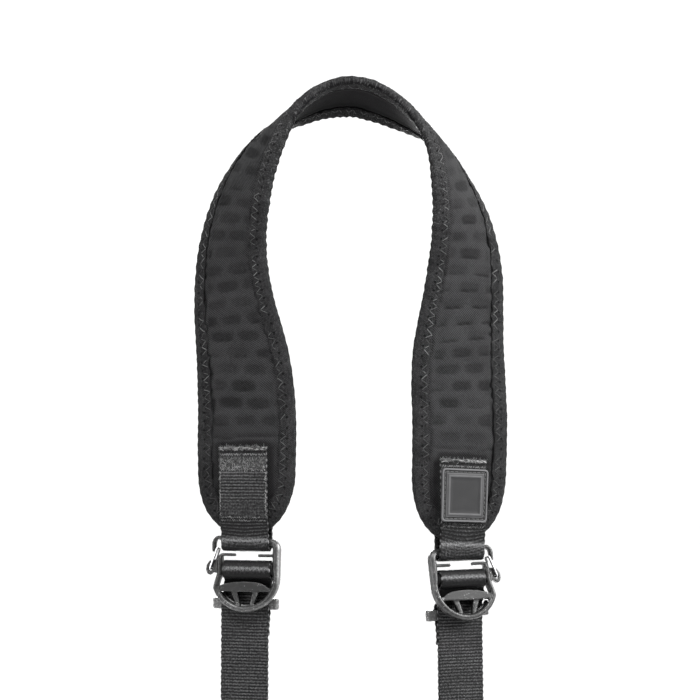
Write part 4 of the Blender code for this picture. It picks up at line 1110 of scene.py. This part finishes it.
def make_strap(side, kind, run, look, wear_and_light, seed):
    """A ribbed strip with rounded selvedges. Its wear and painted light give each row its curved
    ribs, the share of its ribs that is smoothed away, and its rub: rubbed paleness, painted
    highlight and painted shade."""
    bow, plain, rub = (np.reshape(values, (-1, 1)) for values in wear_and_light)
    at = run.at[:, None]
    wall = 0.84 * WEBBING_WALL / 2
    columns = np.linspace(-1.0, 1.0, WEBBING_COLUMNS)
    selvedge = 0.16 * MM * np.cos(2 * pi * at / (2 * RIB)) * (1 - 0.5 * plain)
    selvedge = selvedge + 0.10 * MM * noise(at, 0.0, 2.0 * MM, seed)
    half = WEBBING_WIDTH / 2 - wall + selvedge
    x = columns * half
    curved = at + bow * (1 - columns ** 2) * MM
    wander = 0.35 * noise(seed, columns * WEBBING_WIDTH / 2, 4.5 * MM, seed + 1)
    phase = curved / RIB + 0.04 * wander + 0.06 * noise(curved, x, 6 * MM, seed + 2)
    strength = (1 - plain) * (0.85 + 0.25 * noise(at, x, 7 * MM, seed + 3))
    front_rib, rear_rib = (
        (1.0 - (0.5 - face * 0.5 * np.cos(2 * pi * phase)) ** 1.9) * strength + 0.55 * (1 - strength)
        for face in (1, -1))
    depth = RIB_DEPTH * smooth(1.0, 0.86, np.abs(columns))
    front = wall + depth * (front_rib - 0.5) + 0.05 * MM * noise(at, x, 1.1 * MM, seed + 4)
    rear = -wall - depth * (rear_rib - 0.5)
    side_x = half + wall * np.sin(SELVEDGE)
    side_h = np.broadcast_to(wall * np.cos(SELVEDGE), side_x.shape)
    ring_x = np.hstack([x, side_x, x[:, ::-1], -side_x[:, ::-1]])
    ring_h = np.hstack([front, side_h, rear[:, ::-1], side_h[:, ::-1]])
    rows = run.place(np.broadcast_to(at, ring_x.shape), ring_x, ring_h)

    count = len(SELVEDGE)
    edges = np.repeat(0.55 + 0.75 * np.cos(pi * at / RIB), count, axis=1)
    ribs = np.hstack([front_rib, edges, rear_rib[:, ::-1], edges])
    right, left = (np.repeat(phase[:, k:k + 1], count, axis=1) for k in (WEBBING_COLUMNS - 1, 0))
    flat_u = np.hstack([phase, right, phase[:, ::-1], left, phase[:, :1]]) * RIB
    flat_v = np.hstack([ring_x, x[:, :1]])
    flat_v[:, WEBBING_COLUMNS + count:-1] += WEBBING_FLAT
    skin = Skin()
    skin.grid(rows, flat_places(flat_u, flat_v), caps=True, rib=ribs, rub=rub)
    node = f"{kind}_webbing_{side.name}"
    skin.make(f"{kind}_strap_{side.name}", look, replaces=(node,))


def turned_away(run):
    """From 0 to 1 where the webbing turns to face down, away from the light."""
    return smooth(0.15, 0.85, -run.normal[:, 2])


def upper_wear_and_light(side, run):
    """Bow, plain and rub of the upper webbing: worn at its hem and on its roll over the bar, with a
    painted highlight along the roll and painted shade above it and where it faces down.
    """
    wear_and_light = side.wear_and_light
    at = run.at / MM
    level = run.middle[:, 2] / MM - wear_and_light.roll
    outward = run.normal @ np.array(side.front)
    if side.name == "left":
        plain = 0.75 * smooth(25.0, 28.0, at) * smooth(36.5, 34.5, at) + 0.8 * smooth(11.5, 9.5, at)
    else:
        plain = 0.9 * smooth(33.0, 31.0, at)
    plain = np.clip(plain + 0.55 * smooth(2.6, 1.2, level), 0.0, 1.0)
    # Painted highlight along the front of the roll, where it is rubbed too, and a pale rubbed hem
    rub = 0.95 * bell(level, 0.0, 1.1) * smooth(0.0, 0.4, outward) + 0.5 * smooth(1.6, 0.6, at)
    # Paler over the tacking, darker just past the hem, and painted shade where the webbing faces
    # down
    rub = rub + 0.35 * bell(at, 8.5, 3.5) - 0.45 * bell(at, 2.5, 0.5) - 0.75 * turned_away(run)
    # Painted shade just above the roll
    rub = rub - 0.42 * smooth(12.0, 9.0, level) * smooth(1.6, 3.4, level)
    return wear_and_light.bow * bell(at, wear_and_light.bow_at, 9.0), plain, rub


def tail_wear_and_light(side, run):
    """Bow, plain and rub of the tail: worn plain in its loop over the adjuster bar, with a painted
    highlight along the loop's crest and painted shade above and below it and where it faces down.
    """
    wear_and_light = side.wear_and_light
    at = run.at / MM
    level = run.middle[:, 2] / MM - wear_and_light.tail_roll
    outward = run.normal @ np.array(side.front)
    looped = smooth(56.0, 61.0, at)
    plain = 0.9 * looped * smooth(96.0, 90.0, at)
    # Painted highlight along the loop's crest, painted shade above it and below it
    rub = bell(level, 0.0, 0.80) - 0.9 * bell(level, 4.0, 2.4)
    rub = rub - 0.45 * smooth(-0.8, -3.0, level)
    rub = rub * smooth(0.2, 0.5, outward) * looped - wear_and_light.tail_dull
    # More painted shade below the loop and where the webbing faces down
    rub = rub - 0.55 * smooth(-3.0, -5.0, level) * looped - 0.75 * turned_away(run)
    return 0 * at, plain, rub


def tack(skin, run, tacking):
    """Back-and-forth stitching across a webbing, or along it when turned: each thread rises out of
    the webbing and dips in again."""
    rng = np.random.default_rng(tacking.seed)
    half = WEBBING_WIDTH / 2 - 0.9 * MM
    low, high = (end * MM for end in TACK_COLUMN) if tacking.turned else (-half, half)
    count = int((high - low) / TACK)
    share = np.linspace(0.0, 1.0, 5)
    for row in tacking.rows:
        x = np.linspace(low, high, count + 1) + rng.normal(0, 0.12 * MM, count + 1)
        swing = tacking.swing * MM * np.where(np.arange(count + 1) % 2, 1, -1)
        u = row * MM + swing + rng.normal(0, 0.18 * MM, count + 1)
        if tacking.turned:
            x, u = u, x
        for k in range(count):
            if rng.random() < HIDDEN_TACKS:
                continue
            path_u = u[k] + (u[k + 1] - u[k]) * share
            path_x = x[k] + (x[k + 1] - x[k]) * share
            lift = 0.62 * WEBBING_WALL / 2 + 0.36 * MM * np.sin(pi * share) ** 0.7
            lift = lift + rng.normal(0, 0.03 * MM)
            pale = rng.uniform(*tacking.paleness)
            sew(skin, run.place, path_u, path_x, lift, TACK_THREAD, 4, pale)


def fray(skin, run, half, seed):
    """Bright whipped yarns and short loose fibres along a cut and folded end."""
    rng = np.random.default_rng(seed)
    share = np.linspace(0.0, 1.0, 6)
    for _ in range(HEM_YARNS):
        x = rng.uniform(-half, half)
        reach = rng.uniform(0.5, 1.9) * MM * rng.choice([-1, 1])
        path_x = np.clip(x + reach * share, -half, half)
        u = rng.uniform(0.0, 1.35) * MM + rng.normal(0, 0.50) * MM * share
        u = u + rng.normal(0, 0.2) * MM * np.sin(3 * share)
        lift = 0.45 * WEBBING_WALL + rng.uniform(0.0, 0.35) * MM + 0.16 * MM * np.sin(pi * share)
        lift = lift - 0.5 * MM * smooth(0.7 * MM, 0.0, u)
        sew(skin, run.place, np.clip(u, 0, None), path_x, lift,
            rng.uniform(0.12, 0.20) * MM, 4, rng.uniform(-0.4, 1.0))
    ahead = unit(run.middle[1] - run.middle[0])
    share = np.linspace(0.0, 1.0, 4)[:, None]
    for _ in range(HEM_FIBRES):
        x = rng.uniform(-half, half)
        base = run.place(np.array(0.2 * MM), np.array(x), np.array(rng.uniform(-0.2, 0.7) * MM))
        bend = rng.normal(0, 0.5, 3) * MM
        path = base - ahead * share * rng.uniform(0.5, 1.1) * MM + bend * share ** 2
        tube(skin, path, np.repeat(run.normal[:1], 4, axis=0), 0.06 * MM, 3)


def make_webbings(side, look, tack_thread, yarn):
    """Both webbings of one side, with the upper one's tacking and frayed hem."""
    run = Run(upper_stations(side), side.front, step=0.26 * MM)
    make_strap(side, "upper", run, look, upper_wear_and_light(side, run), side.wear_and_light.upper_seed)
    skin = Skin()
    for tacking in TACKING[side.name]:
        tack(skin, run, tacking)
    skin.make("tack_stitches_" + side.name, tack_thread)
    skin = Skin()
    fray(skin, run, WEBBING_WIDTH / 2 - 0.3 * MM, side.wear_and_light.hem_seed)
    skin.make("hem_yarns_" + side.name, yarn)
    run = Run(tail_stations(side), side.front, step=0.30 * MM)
    make_strap(side, "tail", run, look, tail_wear_and_light(side, run), side.wear_and_light.tail_seed)


# Patch


def rounded_rectangle(width, height, corner, steps=7, spans=10):
    """Points round a rectangle with round corners, counter-clockwise, its sides too."""
    points = []
    for k, (sx, sy) in enumerate(((1, 1), (-1, 1), (-1, -1), (1, -1))):
        for j in range(steps + 1):
            angle = pi / 2 * (k + j / steps)
            points.append((sx * (width / 2 - corner) + corner * cos(angle),
                           sy * (height / 2 - corner) + corner * sin(angle)))
    points = np.array(points)
    filled = []
    for k, point in enumerate(points):
        after = points[(k + 1) % len(points)]
        cuts = spans if (k + 1) % (steps + 1) == 0 else 1
        filled += [point + (after - point) * j / cuts for j in range(cuts)]
    return np.array(filled)


def make_patch(side, rubber, thread):
    """Moulded patch: raised rim, sewn groove, and a bare plate with one plain raised border."""
    base = STRAND_HEIGHT + WEBBING_WALL / 2 + LOOSE - 0.85 * MM
    middle = side.webbing_step(PATCH_UP)

    def place(up, inward, height):
        return side.ribbon.place(side.along(PATCH_UP + up), middle + inward, base + height)

    rows = []
    flats = []
    pale = []
    for inset, walls, grooves, share in PATCH_RINGS:
        inset = inset * PATCH_RIM
        corner = max(PATCH_CORNER - 0.8 * inset, 0.35 * PATCH_RIM)
        outline = rounded_rectangle(PATCH_WIDTH - 2 * inset, PATCH_HEIGHT - 2 * inset, corner)
        height = walls * PATCH_WALL + grooves * PATCH_GROOVE
        rows.append(place(outline[:, 1], outline[:, 0], height))
        flats.append(np.concatenate([outline, outline[:1]]) / MM)
        pale.append(np.full(len(outline), share))
    skin = Skin()
    skin.grid(np.array(rows), np.array(flats), caps=True, rim=np.array(pale))
    skin.make("patch_face", rubber, replaces=("label_patch",))

    skin = Skin()
    inset = 1.6 * PATCH_RIM
    half = (PATCH_WIDTH / 2 - inset, PATCH_HEIGHT / 2 - inset)
    arch = MM * (0.24 * np.sin(pi * np.linspace(0.0, 1.0, 6)) ** 0.6 - 0.08)
    corners = np.array([(-1, -1), (1, -1), (1, 1), (-1, 1)]) * half
    for start, end in zip(corners, np.roll(corners, -1, axis=0)):
        count = int(round(np.linalg.norm(end - start) / PATCH_STITCH))
        for k in range(count):
            share = np.linspace(k + 0.10, k + 0.86, 6) / count
            flat = start + (end - start) * share[:, None]
            height = PATCH_WALL - PATCH_GROOVE + arch
            sew(skin, place, flat[:, 1], flat[:, 0], height, TACK_THREAD, 6)
    skin.make("patch_stitches", thread)


# Metal


def casting_painted_light(side, places):
    """Painted highlight, paler on the flank away from the gate, and painted shade, deeper on the
    lip.
    """
    inward = places @ np.array(side.lean_in) / FRAME_WIDTH
    up = places @ np.array(side.lean_up)
    share_up = up / FRAME_HEIGHT
    flank = smooth(0.450, 0.495, inward) * smooth(-0.35, -0.20, share_up)
    # The left buckle's painted highlight also runs round its lower arc; the right buckle's is
    # fainter
    if side.name == "left":
        flank = flank + 0.22 * smooth(-0.30, -0.42, share_up)
    else:
        flank = 0.38 * flank - 0.06
    # Painted shade on the recessed lip
    lip = bell(up, -LIP_DOWN + LIP_HEIGHT / 2, LIP_HEIGHT / 2)
    return flank - 0.35 * smooth(0.40, 0.32, np.abs(inward)) * lip


def rounded_copy(name, node, look, side, voxel, passes):
    """The casting's own solid, with its facets and corners softened."""
    name = name + "_" + side.name
    node = node + "_" + side.name
    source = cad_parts[node]
    mesh = source.data.copy()
    mesh.transform(source.matrix_world)
    reworked(mesh, lambda bm: bmesh.ops.remove_doubles(bm, verts=bm.verts, dist=0.01 * MM))
    work = add_object(name + "_work", mesh)
    remesh = work.modifiers.new("even", "REMESH")
    remesh.mode = "VOXEL"
    remesh.voxel_size = voxel
    soften = work.modifiers.new("soften", "SMOOTH")
    soften.factor = 0.5
    soften.iterations = passes
    graph = bpy.context.evaluated_depsgraph_get()
    done = bpy.data.meshes.new_from_object(work.evaluated_get(graph))
    bpy.data.objects.remove(work, do_unlink=True)
    done.name = name
    done.shade_smooth()
    places = np.empty(3 * len(done.vertices), np.float32)
    done.vertices.foreach_get("co", places)
    # Painted highlight and shade of the casting, kept on the mesh for its look
    add_field(done, "painted_light_and_shade", casting_painted_light(side, places.reshape(-1, 3) - np.array(side.middle)))
    add_piece(name, done, look, "strap", (node,))


def gate_path():
    """The wire's middle line in the buckle's own plane, as in the solids, with rounder bends."""
    pin_x = -(FRAME_WIDTH / 2 - THROAT_STEP) - PIVOT_OUT
    nose_x = -(FRAME_WIDTH / 2 + HOOK_OUT - HOOK_WALL / 2 - HOOK_BEND)
    nose_up = FRAME_HEIGHT / 2 + HOOK_RISE - HOOK_WALL / 2 - HOOK_BEND
    top_x = nose_x - HOOK_BEND + HOOK_WALL / 2 + 1.4 * GAP + WIRE / 2
    start = Vector((pin_x, PIVOT_UP, 0.0))
    top = Vector((top_x, nose_up - GATE_DROP * HOOK_REACH, 0.0))
    ahead = (top - start).normalized()
    forward = Vector((0.0, 0.0, 1.0))
    leg = forward * (LUG_DEPTH / 2 + GAP + WIRE / 2 - GATE_BEND)
    front = [start + forward * GAP]
    for middle, first, last in ((start + ahead * GATE_BEND + leg, -ahead, forward),
                                (top - ahead * GATE_BEND + leg, forward, ahead)):
        for angle in arc(pi / 2):
            front.append(middle + (first * cos(angle) + last * sin(angle)) * GATE_BEND)
    rear = [Vector((p.x, p.y, -p.z)) for p in reversed(front)]
    return front + rear, ahead.cross(forward)


def make_gate(side, look):
    path, square = gate_path()
    points = np.array([list(side.leaning(*p)) for p in path])
    normal = side.leaning(*square) - side.leaning(0.0, 0.0, 0.0)
    skin = Skin()
    tube(skin, points, np.repeat([list(normal.normalized())], len(points), axis=0), WIRE / 2, 14)
    skin.make("gate_wire_" + side.name, look, body="gate_" + side.name,
              replaces=("wire_gate_" + side.name,))


# Floor, lights and camera


def make_floor():
    mesh = bpy.data.meshes.new("floor")
    corners = [(x * FLOOR_REACH, y * FLOOR_REACH, FLOOR_LEVEL)
               for x, y in ((-1, -1), (1, -1), (1, 1), (-1, 1))]
    mesh.from_pydata(corners, [], [(0, 1, 2, 3)])
    look = Look("floor_pale", roughness=0.9)
    cloudy = look.grain(look.space(), 3.0, 2.0)
    color = look.tint(cloudy, (0.93, 0.93, 0.93), (0.95, 0.95, 0.95))
    mesh.materials.append(look.done(color, 0.9, cloudy, 0.02))
    floor = add_object("floor", mesh)
    floor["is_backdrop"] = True


def make_lights():
    """A white studio, a little greyer behind the camera, and four square lights."""
    world = bpy.data.worlds.new("studio")
    world.use_nodes = True
    sky = Nodes(world.node_tree)
    _, y, z = sky.parts(sky.space("Generated"))
    panel = sky.fade(y, -0.40, -0.75) * sky.fade(sky.calc("ABSOLUTE", z), 0.75, 0.45)
    color = sky.tint(panel, (1.0, 1.0, 1.0), (0.72, 0.72, 0.72))
    sky.fed(sky.tree.nodes["Background"], {"Color": color, "Strength": 1.13})
    bpy.context.scene.world = world
    for name, place, size, power in LIGHTS:
        light = bpy.data.lights.new(name, "AREA")
        light.shape = "SQUARE"
        light.size = size
        light.energy = power
        lamp = add_object(name, light)
        lamp.location = place
        lamp.rotation_mode = "QUATERNION"
        lamp.rotation_quaternion = (LIT_PLACE - lamp.location).to_track_quat("-Z", "Y")


def make_camera():
    data = bpy.data.cameras.new("camera")
    data.sensor_width = 36.0
    data.lens = 144.0
    data.clip_start = 0.05
    data.clip_end = 60.0
    camera = add_object("camera", data)
    camera.location = CAMERA_PLACE
    camera.rotation_euler = (radians(90.0), 0.0, radians(CAMERA_TURN))
    bpy.context.scene.camera = camera


def main():
    bpy.context.scene.view_settings.view_transform = "Standard"
    make_camera()
    make_floor()
    make_lights()
    ribbon = Ribbon()
    sides = [Side(ribbon, name) for name in SIDES]
    webbing = webbing_look()
    casting = casting_look("cast_gunmetal", dark=0.005, light=0.145)
    keeper_metal = casting_look("keeper_gunmetal", dark=0.025, light=0.34)
    seam_thread = thread_look("seam_thread", dark=0.005, light=0.050)
    # The rear face's thread is the seam thread darkened: painted shade
    rear_thread = thread_look("rear_seam_thread", dark=0.0010, light=0.0060)
    tack_thread = thread_look("tack_thread", dark=0.006, light=0.095)
    yarn = thread_look("frayed_yarn", dark=0.005, light=0.155)
    make_pad(ribbon, sides, cloth_look(), lining_look())
    edge = Edge(ribbon, step=1.0 * MM)
    make_tape(ribbon, edge, tape_look())
    make_zigzag(edge, "edge_stitches_front", seam_thread, face=1)
    make_zigzag(edge, "edge_stitches_rear", rear_thread, face=-1)
    for side in sides:
        make_webbings(side, webbing, tack_thread, yarn)
        rounded_copy("buckle", "hook_frame", casting, side, voxel=0.26 * MM, passes=9)
        rounded_copy("keeper_bar", "strap_keeper", keeper_metal, side, voxel=0.22 * MM, passes=60)
        make_gate(side, steel_look("wire_steel_" + side.name, side.wear_and_light.wire))
        if side.name == "right":
            make_patch(side, rubber_look(), tack_thread)


main()
new_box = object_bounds()
[[list(corner) for corner in box] for box in (cad_box, new_box)]
